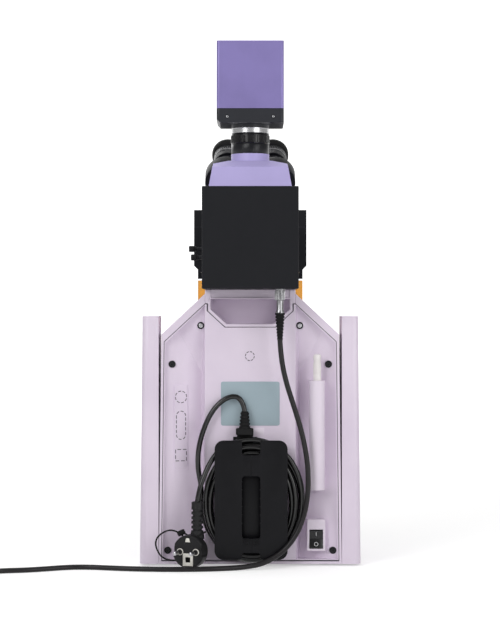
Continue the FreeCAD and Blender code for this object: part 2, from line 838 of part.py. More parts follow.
def make_wings():
    face = [("housing_foot_half+gap", "foot_height"),
            ("housing_foot_half+gap+wing_thickness+wing_splay", "foot_height"),
            ("housing_foot_half+gap+wing_thickness", "wing_top"),
            ("housing_foot_half+gap", "wing_top")]
    plate = prism("XZ_Plane", face, "housing_front-2", "rear_plane")
    outer = rounded(plate, "wing_round", outer_edge)
    keep("side_wings", group(outer, mirrored(outer)))


def outer_edge(edge):
    """The long upright edges on the outer side of a wing."""
    middle = edge.CenterOfMass
    long_enough = edge.Length > size("wing_top") / 2
    return long_enough and middle.x > size("housing_foot_half") + size("wing_thickness") / 2


def make_screws():
    screws = [rod("y", "screw_radius", f"{face}-screw_sunk", f"{face}+screw_proud", (x, z))
              for x, z, face in screw_places()]
    keep("cover_screws", group(*screws))


def make_cover_fittings():
    label = block(("-label_half", "label_half"), ("rear_plane", "rear_plane+label_thick"),
                  ("label_bottom", "label_top"))
    tag = block(("-tag_half", "inlet_x-inlet_half+panel_wall"), ("rear_plane", "rear_plane+label_thick"),
                ("tag_bottom-tag_height", "tag_bottom"))
    keep("rating_label", group(label, tag))

    # the holder stands out so far that the driver lifts past the rim of the cover
    centre = "rear_plane+driver_radius+2*gap"
    tube = rod("z", "holder_radius", "holder_bottom", "holder_top", ("holder_x", centre))
    back = block(("holder_x-holder_radius", "holder_x+holder_radius"),
                 ("housing_front", centre), ("holder_bottom", "holder_top"))
    bore = rod("z", "driver_radius+gap", "holder_bottom+holder_floor", "holder_top+1",
               ("holder_x", centre))
    keep("tool_holder", cut(fuse(tube, back), slope_tool(), bore))
    grip = rod("z", "driver_radius", "driver_grip_bottom", "driver_top", ("holder_x", centre))
    blade = rod("z", "driver_tip_radius", "holder_bottom+holder_floor+gap", "driver_grip_bottom+1",
                ("holder_x", centre))
    keep("hex_driver", fuse(grip, blade))


def make_switch():
    hole = "rocker_half_width+gap"
    plate = block(("switch_x-switch_half", "switch_x+switch_half"),
                  ("housing_front", "rear_plane-2*gap"), ("switch_bottom", "switch_top"))
    opening = block((f"switch_x-({hole})", f"switch_x+({hole})"),
                    ("housing_front-1", "rear_plane+1"),
                    ("rocker_z-rocker_half_height-2*gap", "rocker_z+rocker_half_height+2*gap"))
    keep("switch_frame", cut(plate, slope_tool(), opening))

    # the rocker's face is two flats that meet at its pivot line; it rests with the upper end in
    rise = "rocker_half_height*sin(rocker_angle)"
    reach = "rocker_half_height*cos(rocker_angle)"
    side = [("-rocker_half_height*0.8", f"-({reach})*0.7"), (f"{rise}", f"-({reach})"),
            (0, 0), (f"{rise}", reach), ("-rocker_half_height*0.8", f"({reach})*0.7")]
    rocker = prism("YZ_Plane", side, "-rocker_half_width", "rocker_half_width")
    keep("switch_rocker", placed(rocker, "switch_x", "rear_plane-4*gap", "rocker_z", (1, 0, 0),
                                 "rocker_angle"))


def make_inlet_and_winder():
    body = block(("inlet_x-inlet_half+gap", "inlet_x+inlet_half-gap"),
                 ("rear_plane-inlet_depth-panel_wall", "rear_plane"),
                 ("inlet_bottom+gap", "inlet_bottom+inlet_height-gap"))
    socket = block(("inlet_x-inlet_half+panel_wall", "inlet_x+inlet_half-panel_wall"),
                   ("rear_plane-inlet_depth", "rear_plane+1"),
                   ("inlet_bottom+panel_wall", "inlet_bottom+inlet_height-panel_wall"))
    keep("power_inlet", cut(body, socket))

    left, right = "winder_x-winder_half", "winder_x+winder_half"
    back = "winder_face-winder_thick"
    plate = block((left, right), (back, "winder_face"), ("winder_bottom", "winder_top"))
    plate = rounded(plate, "winder_corner", runs_along("y"))
    notch_x = ("winder_x-winder_notch_half", "winder_x+winder_notch_half")
    through = (f"{back}-1", "winder_face+1")
    notches = [block(notch_x, through, ("winder_bottom-1", "winder_bottom+winder_notch_depth*0.45")),
               block(notch_x, through, ("winder_top-winder_notch_depth", "winder_top+1")),
               block(notch_x, through, ("winder_slot_bottom", "winder_slot_top"))]
    hub = block(("winder_x-winder_hub_half", "winder_x+winder_hub_half"),
                ("rear_plane", f"{back}+1"), ("winder_hub_bottom", "winder_hub_top"))
    hub = rounded(hub, "winder_corner", runs_along("y"))
    core = block(notch_x, ("rear_plane+panel_wall", "winder_face+1"),
                 ("winder_slot_bottom", "winder_slot_top"))
    keep("cord_winder", fuse(cut(plate, *notches), cut(hub, core)))


def make_insides():
    back = "housing_front+housing_wall"
    supply = block(("supply_inner", "supply_outer"), (back, f"{back}+supply_depth"),
                   ("supply_bottom", "supply_top"))
    keep("power_supply", supply)
    socket = block(("-supply_outer", "-supply_inner"), (back, f"{back}+supply_depth"),
                   ("foot_height+housing_wall", "lamp_socket_top"))
    middle = ("-(supply_inner+supply_outer)/2", f"{back}+supply_depth/2")
    bulb = rod("z", "bulb_radius", "lamp_socket_top-1", "lamp_socket_top+bulb_length", middle)
    keep("transmitted_lamp", fuse(socket, bulb))


# Light exit, focus drive, stage and condenser

def knob(radius, width):
    """A turned knob with broken edges and a dished face."""
    return turned([(0, 0), (f"({radius})-1", 0), (radius, 1), (radius, f"({width})-1.5"),
                   (f"({radius})-1.5", width), (f"({radius})*0.7", width),
                   (f"({radius})*0.6", f"({width})-1"), (0, f"({width})-1")])


def make_light_exit():
    top = "base_top+port_height"
    mount = fuse(rod("z", "port_radius", "base_top", top),
                 rod("z", "port_tube_radius", f"{top}-1", "base_top+port_tube_height"))
    keep("field_lens_mount", cut(mount, rod("z", "light_bore", "base_top-1", "base_top+port_tube_height+1")))
    ring = rod("z", "iris_ring_radius", f"{top}+gap", f"{top}+gap+iris_ring_height")
    hole = rod("z", "port_tube_radius+gap", f"{top}-1", f"{top}+iris_ring_height+2")
    keep("field_iris_ring", cut(ring, hole))
    seat = "base_top+port_tube_height"
    keep("field_lens", turned([(0, seat), ("port_lens_radius", seat), ("port_lens_radius", f"{seat}+1"),
                               ("port_lens_radius*0.6", f"{seat}+port_lens_height*0.8"),
                               (0, f"{seat}+port_lens_height")]))
    face = "-base_half-base_corner/3"
    wheel = placed(knob("dimmer_radius", "dimmer_length"), face, "dimmer_y", "dimmer_z", (0, 1, 0), -90)
    shaft = rod("x", "fine_shaft", f"{face}-1", "-base_half+base_wall/2", ("dimmer_y", "dimmer_z"))
    keep("brightness_knob", fuse(wheel, shaft))


def knob_pair(radius, width, start):
    """Two knobs on one shaft through the arm."""
    right = placed(knob(radius, width), start, "focus_y", "focus_z", (0, 1, 0), 90)
    left = placed(knob(radius, width), f"-({start})", "focus_y", "focus_z", (0, 1, 0), -90)
    return right, left


def make_focus_drive():
    centre = ("focus_y", "focus_z")
    start = "focus_boss_end+gap"
    shaft = rod("x", "coarse_shaft", f"-({start})-1", f"{start}+1", centre)
    bore = rod("x", "fine_shaft+shaft_gap", f"-({start})-coarse_width-1", f"{start}+coarse_width+1", centre)
    keep("coarse_knobs", cut(fuse(*knob_pair("coarse_radius", "coarse_width", start), shaft), bore))
    start = "focus_boss_end+2*gap+coarse_width"
    shaft = rod("x", "fine_shaft", f"-({start})-1", f"{start}+1", centre)
    keep("fine_knobs", fuse(*knob_pair("fine_radius", "fine_width", start), shaft))


def make_stage():
    top = "stage_surface-stage_thick-gap"
    back = "column_front-gap"
    front = f"{back}-carrier_back_thick"
    plate = block(("-carrier_half", "carrier_half"), ("carrier_front", f"{front}+1"),
                  (f"{top}-carrier_thick", top))
    upright = block(("-carrier_back_half", "carrier_back_half"), (front, back), ("carrier_back_bottom", top))
    hole = rod("z", "carrier_hole", "carrier_back_bottom", f"{top}+1")
    groove = block(("-rail_half-gap", "rail_half+gap"), ("column_front-rail_depth-gap", "column_front"),
                   ("carrier_back_bottom-1", f"{top}+1"))
    lift = rod("x", "stage_shaft+shaft_gap", "-carrier_back_half-1", "-rail_half-2",
               (f"{back}-carrier_back_thick/2", "lift_knob_z"))
    keep("stage_carrier", cut(fuse(plate, upright), hole, groove, lift))

    slab = block(("-stage_half", "stage_half"), ("stage_front", "stage_back"),
                 ("stage_surface-stage_thick", "stage_surface"))
    slab = rounded(slab, "stage_corner", runs_along("z"))
    slot = block(("-stage_slot_half", "stage_slot_half"), ("-stage_slot_reach", "stage_slot_reach"),
                 ("stage_surface-stage_thick-1", "stage_surface+1"))
    boss = rod("z", "stage_boss_radius", "stage_boss_bottom", "stage_surface-stage_thick+1",
               ("stage_knob_x", "stage_knob_y"))
    keep("stage_top", fuse(cut(slab, slot), boss))


def make_specimen_holder():
    low = "stage_surface+gap"
    bar = block(("-holder_bar_half", "holder_bar_half"), ("holder_bar_front", "holder_bar_back"),
                (low, f"{low}+holder_bar_height"))
    jaw = block(("-jaw_outer", "-jaw_inner"), ("jaw_front", "holder_bar_front+1"), (low, f"{low}+jaw_thick"))
    pivot_x = "(jaw_inner+jaw_outer)/2"
    ear = block(("jaw_inner-finger_radius/4", "holder_bar_half"),
                ("finger_pivot_y-finger_radius", "holder_bar_front+1"),
                (f"{low}+jaw_thick+gap", f"{low}+holder_bar_height"))
    pin = rod("z", "finger_radius*0.4", low, f"{low}+jaw_thick+1", (pivot_x, "finger_pivot_y"))
    keep("specimen_holder", fuse(bar, jaw, ear, pin))
    eye = rod("z", "finger_radius", low, f"{low}+jaw_thick", (pivot_x, "finger_pivot_y"))
    arm = block((f"{pivot_x}-finger_radius/2", f"{pivot_x}+finger_radius/2"),
                ("jaw_front", "finger_pivot_y"), (low, f"{low}+jaw_thick"))
    tip = block(("jaw_inner-finger_radius", f"{pivot_x}"), ("jaw_front", "jaw_front+finger_radius"),
                (low, f"{low}+jaw_thick"))
    hole = rod("z", "finger_radius*0.4+shaft_gap", "stage_surface", f"{low}+jaw_thick+1",
               (pivot_x, "finger_pivot_y"))
    keep("holder_finger", cut(fuse(eye, arm, tip), hole))


def make_stage_knobs():
    centre = ("stage_knob_x", "stage_knob_y")
    top = "stage_boss_bottom-gap"
    low = f"{top}-upper_knob_height"
    upper = placed(knob("upper_knob_radius", "upper_knob_height"), *centre, top, (1, 0, 0), 180)
    bore = rod("z", "stage_shaft+shaft_gap", f"{low}-1", f"{top}+1", centre)
    keep("stage_y_knob", cut(upper, bore))
    lower = placed(knob("lower_knob_radius", "lower_knob_height"), *centre, f"{low}-gap", (1, 0, 0), 180)
    shaft = rod("z", "stage_shaft", f"{low}-gap-1", top, centre)
    keep("stage_x_knob", fuse(lower, shaft))


def make_condenser():
    front = "column_front-gap-carrier_back_thick"
    low = "condenser_ring_bottom"
    high = "condenser_ring_bottom+condenser_ring_height"
    block_top = f"{high}+gap"
    slider = block(("-slide_block_half", "slide_block_half"), ("slide_block_front", f"{front}-gap"),
                   ("slide_block_bottom", block_top))
    bridge = block(("-slide_block_half*0.7", "slide_block_half*0.7"),
                   ("condenser_radius-4", "slide_block_front+1"), (low, high))
    ring = rod("z", "condenser_ring_radius", low, high)
    hole = rod("z", "condenser_radius", f"{low}-1", f"{high}+1")
    keep("condenser_carrier", cut(fuse(slider, bridge, ring), hole))
    keep("condenser_body", turned([
        (0, "condenser_bottom"), ("condenser_radius", "condenser_bottom"),
        ("condenser_radius", "condenser_shoulder"), ("condenser_neck_radius", "condenser_tip"),
        ("condenser_lens_radius", "condenser_tip"),
        ("condenser_lens_radius", "condenser_tip+condenser_lens_height"),
        (0, "condenser_tip+condenser_lens_height")]))
    low = "condenser_bottom+gap"
    ring = rod("z", "condenser_radius+gap+aperture_ring_proud", low, f"{low}+aperture_ring_height")
    lever = block(("-aperture_ring_proud", "aperture_ring_proud"), ("-aperture_handle", "-condenser_radius"),
                  (low, f"{low}+aperture_ring_height"))
    hole = rod("z", "condenser_radius+gap", f"{low}-1", f"{low}+aperture_ring_height+1")
    keep("condenser_iris_ring", cut(fuse(ring, lever), hole))
    centre = ("column_front-gap-carrier_back_thick/2", "lift_knob_z")
    wheel = placed(knob("lift_knob_radius", "lift_knob_length"), "-carrier_back_half-gap", *centre,
                   (0, 1, 0), -90)
    shaft = rod("x", "stage_shaft", "-carrier_back_half-gap-1", "-rail_half-2-gap", centre)
    keep("condenser_knob", fuse(wheel, shaft))


# Nosepiece and objectives; the turret's axis leans so that the objective in use stands upright

OBJECTIVE_GAPS = (10.5, 17, 2.1, 0.7, 0.4)


def on_nose(thing):
    """Puts what is made about the turret's axis, with the axes' meeting point at the origin, in place."""
    meeting = "specimen_height+parfocal+nose_circle/sin(nose_tilt)"
    return placed(thing, 0, 0, meeting, (1, 0, 0), "nose_tilt")


def make_nosepiece():
    drop = "nose_circle/tan(nose_tilt)"
    rise = "tan(nose_tilt)"
    flat = "nose_circle*0.3"
    top = f"nose_thick-{drop}"
    turret = turned([(0, f"({flat}-nose_circle)*{rise}-{drop}"), (flat, f"({flat}-nose_circle)*{rise}-{drop}"),
                     ("nose_radius", f"(nose_radius-nose_circle)*{rise}-{drop}"), ("nose_radius", top),
                     (0, top)])
    bores = []
    lenses = []
    for position, working_gap in enumerate(OBJECTIVE_GAPS):
        bore = rod("z", "objective_thread+shaft_gap", "-nose_thick", "nose_thick*3")
        lens = turned(objective_profile(working_gap))
        for made, solids in ((bore, bores), (lens, lenses)):
            leaning = placed(made, 0, "-nose_circle", f"-{drop}", (1, 0, 0), "-nose_tilt")
            solids.append(placed(leaning, 0, 0, 0, (0, 0, 1), position * 360 / len(OBJECTIVE_GAPS)))
    keep("nosepiece_turret", on_nose(cut(turret, *bores)))
    keep("objectives", on_nose(group(*lenses)))
    boss = on_nose(rod("z", "nose_mount_radius", f"{top}+gap", f"{top}+nose_thick*3"))
    above = block(("-unit_half", "unit_half"), ("unit_front", "unit_back"), ("bracket_bottom", "unit_top"))
    light = rod("z", "light_bore", "specimen_height", "unit_top")
    keep("nosepiece_mount", cut(boss, above, light))


def objective_profile(working_gap):
    """Thread, shoulder, sleeve and nose; the tip ends a working gap above the specimen."""
    length = f"parfocal-{working_gap}"
    neck = f"objective_nose-({length})"
    return [(0, "objective_nose/3"), ("objective_thread", "objective_nose/3"), ("objective_thread", 0),
            ("objective_body", 0), ("objective_body", "-objective_sleeve_start"),
            ("objective_sleeve", "-objective_sleeve_start-1.5"), ("objective_sleeve", f"{neck}"),
            ("objective_tip", f"1-({length})"), ("objective_tip-1", f"-({length})"), (0, f"-({length})")]


# Fluorescence attachment

def make_unit():
    low = "arm_top"
    section = [("-unit_half", f"{low}+unit_chamfer"), ("-unit_half+unit_chamfer", low),
               ("unit_half-unit_chamfer", low), ("unit_half", f"{low}+unit_chamfer"),
               ("unit_half", "unit_split"), ("-unit_half", "unit_split")]
    shell = prism("XZ_Plane", section, "unit_front", "unit_back")
    inner_x = ("-unit_half+unit_wall", "unit_half-unit_wall")
    inner_y = ("unit_front+unit_wall", "unit_back-unit_wall")
    cavity = block(inner_x, inner_y, (f"{low}+unit_wall", "unit_split+1"))
    light = rod("z", "light_bore", f"{low}-1", "unit_top+1")
    beam = rod("y", "tube_bore", "unit_back-unit_wall-1", "unit_back+1", (0, "beam_height"))
    wheel = "arm_top+unit_wall+wheel_rise"
    slot = block(("-wheel_slot_half", "wheel_slot_half"), ("unit_front-1", "unit_front+unit_wall+1"),
                 (f"{wheel}-1", f"{wheel}+wheel_thick+1"))
    lugs = []
    for side in ("", "-"):
        inner, outer = f"{side}(shield_half-shield_lug)", f"{side}shield_half"
        ends = (inner, outer) if side == "" else (outer, inner)
        lugs.append(block(ends, ("shield_y-shield_barrel", "shield_y+shield_barrel"),
                          ("shield_pivot_z-shield_barrel+1", f"{low}+unit_chamfer")))
        pin = (f"{side}(shield_half-shield_lug*2)", f"{side}(shield_half-shield_lug+1)")
        pin = pin if side == "" else pin[::-1]
        lugs.append(rod("x", "shield_barrel*0.4", *pin, ("shield_y", "shield_pivot_z")))
    keep("fluor_housing", cut(fuse(cut(shell, cavity), *lugs), light, beam, slot,
                              block(inner_x, inner_y, (f"{low}+unit_wall", "unit_split+1"))))
    lid = block(("-unit_half", "unit_half"), ("unit_front", "unit_back"), ("unit_split", "unit_top"))
    under = block(inner_x, inner_y, ("unit_split-1", "unit_top-unit_wall"))
    keep("fluor_lid", cut(lid, under, rod("z", "light_bore", "unit_split", "unit_top+1")))


FILTER_PLACES = ("open", "blue", "green", "ultraviolet")


def make_filter_turret():
    low = "arm_top+unit_wall+wheel_rise"
    centre = (0, "-wheel_offset")
    disc = rod("z", "wheel_radius", low, f"{low}+wheel_thick", centre)
    hub = rod("z", "wheel_hub", "arm_top+unit_wall+gap", f"{low}+1", centre)
    cubes = []
    bores = []
    for place in range(len(FILTER_PLACES)):
        cube = block(("-cube_half", "cube_half"), ("wheel_offset-cube_half", "wheel_offset+cube_half"),
                     (f"{low}+wheel_thick-1", f"{low}+wheel_thick+cube_height"))
        bore = rod("z", "light_bore*0.75", f"{low}-1", f"{low}+wheel_thick+cube_height+1", (0, "wheel_offset"))
        for made, solids in ((cube, cubes), (bore, bores)):
            solids.append(placed(made, 0, "-wheel_offset", 0, (0, 0, 1), place * 360 / len(FILTER_PLACES)))
    keep("filter_turret", cut(fuse(disc, hub, *cubes), *bores))


def make_illuminator():
    beam = (0, "beam_height")
    body = block(("-tube_block_half", "tube_block_half"), ("unit_back", "tube_block_end"),
                 ("beam_height-tube_block_drop", "beam_height+tube_block_drop"))
    tube = rod("y", "tube_radius", "tube_block_end-1", "lamp_front", beam)
    flange = rod("y", "tube_flange_radius", "lamp_front-tube_flange_thick", "lamp_front", beam)
    tools = [rod("y", "tube_bore", "unit_back-1", "lamp_front+1", beam)]
    for label, y, z, end in (("filter_slider", "upper_rod_y", "upper_rod_z", "upper_rod_end"),
                             ("shutter_slider", "lower_rod_y", "lower_rod_z", "lower_rod_end")):
        tools.append(rod("x", "rod_radius+gap", "rod_inner_end-8", "tube_block_half+1", (y, z)))
        stem = rod("x", "rod_radius", "rod_inner_end", f"{end}-1", (y, z))
        grip = rod("x", "rod_knob_radius", f"{end}-rod_knob_length", end, (y, z))
        keep(label, fuse(stem, grip))
    keep("illuminator_tube", cut(fuse(body, tube, flange), *tools))


def make_shield():
    plate_y = ("shield_y-shield_thick/2", "shield_y+shield_thick/2")
    neck = "shield_half-shield_lug-gap"
    plate = block(("-shield_half", "shield_half"), plate_y, ("shield_bottom", "shield_top-shield_lug"))
    top = block((f"-({neck})", neck), plate_y, ("shield_top-shield_lug-1", "shield_pivot_z"))
    barrel = rod("x", "shield_barrel", f"-({neck})", neck, ("shield_y", "shield_pivot_z"))
    bore = rod("x", "shield_barrel*0.4+shaft_gap", f"-({neck})-1", f"{neck}+1",
               ("shield_y", "shield_pivot_z"))
    keep("uv_shield", cut(fuse(plate, top, barrel), bore))


def make_lamp_house():
    shell = block(("-lamp_half", "lamp_half"), ("lamp_front", "lamp_back"), ("lamp_bottom", "lamp_top"))
    shell = rounded(shell, "lamp_edge", lambda edge: True)
    inner = block(("-lamp_half+lamp_wall", "lamp_half-lamp_wall"),
                  ("lamp_front+lamp_wall", "lamp_back-lamp_wall"),
                  ("lamp_bottom+lamp_wall", "lamp_top-lamp_wall"))
    window = rod("y", "tube_bore", "lamp_front-1", "lamp_front+lamp_wall+1", (0, "beam_height"))
    keep("lamp_house", cut(shell, inner, window))
    back = "lamp_back-lamp_wall"
    sink = block(("-module_half", "module_half"), (f"{back}-module_thick", back),
                 ("beam_height-module_half", "beam_height+module_half"))
    stem = rod("y", "module_stem", f"lamp_front+lamp_wall*2", f"{back}-module_thick+1", (0, "beam_height"))
    keep("lamp_module", fuse(sink, stem))


# Viewing head and camera

def on_hinge(thing):
    """Puts what is made about the eye tubes' common hinge in place; its Z leans up to the eyes."""
    drop = "sqrt(eye_arm*eye_arm-eye_spacing*eye_spacing/4)"
    y = f"-prism_start*cos(eye_tilt)-{drop}*sin(eye_tilt)"
    z = f"eye_line+prism_start*sin(eye_tilt)-{drop}*cos(eye_tilt)"
    return placed(thing, 0, y, z, (1, 0, 0), "90-eye_tilt")


def make_head():
    low = "unit_top+gap"
    face = "(({})-eye_line)*sin(eye_tilt)/cos(eye_tilt)-(prism_start-gap)/cos(eye_tilt)"
    side = [("head_back", low), ("head_back", "head_back_top"), ("head_top_back", "head_top"),
            (face.format("head_top"), "head_top"), (face.format(low), low)]
    section = [("-head_half", low), ("head_half", low), ("head_half", "unit_top+prism_thick*1.2"),
               ("head_top_half", "head_top-head_ridge_drop"), ("head_ridge_half", "head_top"),
               ("-head_ridge_half", "head_top"), ("-head_top_half", "head_top-head_ridge_drop"),
               ("-head_half", "unit_top+prism_thick*1.2")]
    body = common(prism("YZ_Plane", side, "-head_half", "head_half"),
                  prism("XZ_Plane", section, "unit_front*2", "unit_back*2"))
    collar = rod("z", "collar_radius", "head_top-1", "collar_top")
    pin = on_hinge(rod("z", "hinge_hub*0.4", "-2*hinge_layer", "2*hinge_layer+gap"))
    light = rod("z", "light_bore", f"{low}-1", "collar_top+1")
    keep("head_body", cut(fuse(body, collar, pin), light))


def make_eye_tube(label, side, layer):
    """One half of the binocular; each hub takes its own layer of the hinge pin."""
    tube = (f"{side}*eye_spacing/2", "sqrt(eye_arm*eye_arm-eye_spacing*eye_spacing/4)")
    prism_at = (f"{side}*(eye_spacing/2+prism_offset)", f"{tube[1]}+prism_rise")
    low = f"{layer}*(hinge_layer+gap)"
    high = f"{low}+hinge_layer"
    case = rod("z", "prism_radius", 0, "prism_thick", prism_at)
    barrel = rod("z", "eye_tube_radius", "prism_thick-1", "eye_tube_end-prism_start", tube)
    hub = rod("z", "hinge_hub", low, high)
    reach = (0, "eye_arm") if side > 0 else ("-eye_arm", 0)
    web = block(reach, ("-hinge_hub*0.85", "hinge_hub*0.85"), (low, high))
    lean = f"atan(({prism_at[1]})/(eye_spacing/2+prism_offset))"
    web = placed(web, 0, 0, 0, (0, 0, side), lean)
    hole = rod("z", "hinge_hub*0.4+shaft_gap", f"{low}-1", f"{high}+1")
    socket = rod("z", "eyepiece_radius*0.7+shaft_gap", "eyepiece_start-prism_start-1", "eye_tube_end", tube)
    keep(label, on_hinge(cut(fuse(case, barrel, hub, web), hole, socket)))


def make_eyepiece(label, side):
    sleeve = "eyepiece_radius*0.7"
    start = "eyepiece_start-prism_start"
    seat = "eye_tube_end-prism_start+gap"
    end = "eyepiece_end-prism_start"
    cup = f"{end}-eyecup_length"
    body = turned([(0, start), (sleeve, start), (sleeve, seat), ("eyepiece_radius", seat),
                   ("eyepiece_radius", cup), ("eyecup_radius", f"{cup}+1.5"),
                   ("eyecup_radius", f"{end}-1.5"), ("eyecup_radius-1.5", end),
                   ("eye_lens_radius+3", end), ("eye_lens_radius", f"{end}-eyecup_length/2"),
                   (0, f"{end}-eyecup_length/2")])
    body = placed(body, f"{side}*eye_spacing/2", "sqrt(eye_arm*eye_arm-eye_spacing*eye_spacing/4)", 0)
    keep(label, on_hinge(body))


def make_camera_port():
    low = "collar_top"
    shelf = "grip_ring_bottom-gap"
    keep("cmount_adapter", turned([
        ("light_bore", low), ("port_ring_radius", low), ("port_ring_radius", shelf),
        ("port_inner", shelf), ("port_inner", "camera_flange_bottom"),
        ("light_bore", "camera_flange_bottom")]))
    ring = rod("z", "grip_ring_radius", "grip_ring_bottom", "grip_ring_top")
    hole = rod("z", "port_inner+gap", "grip_ring_bottom-1", "grip_ring_top+1")
    keep("cmount_ring", cut(ring, hole))


def make_camera():
    half = "camera_half"
    section = [("-camera_half", "camera_bottom"), ("camera_half-camera_chamfer", "camera_bottom"),
               ("camera_half", "camera_bottom+camera_chamfer"), ("camera_half", "camera_split"),
               ("-camera_half", "camera_split")]
    base = prism("XZ_Plane", section, "-camera_half", "camera_half")
    base = rounded(base, "camera_round", runs_along("z"))
    flange = rod("z", "port_ring_radius-gap", "camera_flange_bottom", "camera_bottom+1")
    sensor_well = rod("z", "light_bore", "camera_flange_bottom-1", "camera_bottom+light_bore")
    keep("camera_base", cut(fuse(base, flange), sensor_well))
    body = block((f"-{half}", half), (f"-{half}", half), ("camera_split", "camera_top"))
    keep("camera_body", rounded(body, "camera_round", runs_along("z")))


# Leads: each tube is straight runs joined by tangent arcs; the wound lengths are plain solids

LAMP_ROUTE = [
    (-34, 232, 263), (-35, 232, 243), (-41, 231, 214), (-51, 230, 184), (-60.5, 229, 152),
    (-66.5, 228, 118), (-66.5, 228, 82), (-59, 229, 50), (-43, 231, 24), (-18, 235, 7),
    (9, 241, 3.1), (39, 251.5, 3.1), (71, 256, 3.1), (103, 255.5, 3.1), (134, 251, 3.1),
    (160, 243.5, 3.1), (184, 236, 3.1), (206, 236.5, 3.1), (228, 248.5, 3.1), (252, 261.5, 3.1),
    (280, 267, 3.1), (299, 279, 3.1),
]

LEAD_ROUTE = [
    (6.4, 212.5, 180), (8.2, 212.5, 190.5), (17, 212.7, 198.5), (32, 213, 193.5), (45.5, 213.2, 178.5),
    (55, 213, 157), (60.5, 212.4, 134), (60.5, 212, 112), (56.9, 211.9, 95),
]

TAIL_ROUTE = [
    (33, 218.3, 137.5), (41, 219.5, 129.5), (48, 222.5, 118), (54.5, 226, 103),
    (58.8, 227.8, 89.5), (60.8, 228, 77),
]


def tube(label, route, radius):
    """A round tube along a route, with arcs as large as the runs beside them allow."""
    points = [Vector(*place) for place in route]
    edges = []
    radii = []
    start = points[0]
    for before, corner, after in zip(points, points[1:], points[2:]):
        arriving = (corner - before).normalize()
        leaving = (after - corner).normalize()
        half_turn = arriving.getAngle(leaving) / 2
        shorter = min(before.distanceToPoint(corner), corner.distanceToPoint(after))
        reach = 0.45 * shorter
        bend = reach / math.tan(half_turn)
        first, last = corner - arriving * reach, corner + leaving * reach
        inward = (leaving - arriving).normalize()
        middle = corner + inward * (bend / math.cos(half_turn) - bend)
        edges.append(Part.LineSegment(start, first).toShape())
        edges.append(Part.Arc(first, middle, last).toShape())
        radii.append(round(bend, 1))
        start = last
    edges.append(Part.LineSegment(start, points[-1]).toShape())
    path = Part.Wire(edges)
    ring = Part.Circle(points[0], edges[0].tangentAt(edges[0].FirstParameter), radius).toShape()
    solid = path.makePipeShell([Part.Wire([ring])], True, False)
    section = math.pi * radius ** 2
    print(f"{label}: {path.Length:.0f} long, volume ratio {solid.Volume / section / path.Length:.4f}, "
          f"arc radii {radii}")
    return solid


def shaped(shape):
    made = doc.addObject("Part::Feature", "Lead")
    made.Shape = shape
    return made


def make_lamp_lead():
    radius = size("cord_radius")
    x, y, top = "lamp_plug_x", "lamp_plug_y", "lamp_bottom"
    relief_end = str(LAMP_ROUTE[0][2])
    neck_low, neck_high = f"{top}-neck_drop-{relief_end}", f"{top}-grip_drop-{relief_end}"
    near = placed(turned([
        (0, 0), ("cord_radius+gap", 0), ("relief_radius", neck_low), ("neck_radius", neck_low),
        ("neck_radius", neck_high), ("cord_radius*2", neck_high), ("cord_radius*2", f"{top}-{relief_end}"),
        (0, f"{top}-{relief_end}")]), x, y, relief_end)
    far = placed(turned([
        (0, 0), ("cord_radius+gap", 0), ("relief_radius", "far_plug_length*0.4"),
        ("far_plug_radius", "far_plug_length*0.4"), ("far_plug_radius", "far_plug_length"),
        (0, "far_plug_length")]),
        "coil_x+coil_outer-cord_radius-gap", "far_plug_start", "far_plug_radius", (1, 0, 0), 90)
    keep("lamp_plugs", group(near, far))
    run = shaped(tube("lamp cable", LAMP_ROUTE, radius))
    tail_x, tail_z = size("coil_x") + size("coil_outer") - radius - size("gap"), size("far_plug_radius")
    tail = Part.makeCylinder(radius, size("coil_y") - size("far_plug_start"),
                             Vector(tail_x, size("far_plug_start"), tail_z), Vector(0, 1, 0))
    keep("lamp_cable", group(run, shaped(tail)))
    ring = cut(rod("z", "coil_outer", 0, "coil_height", ("coil_x", "coil_y")),
               rod("z", "coil_inner", -1, "coil_height+1", ("coil_x", "coil_y")))
    keep("lamp_coil", ring)


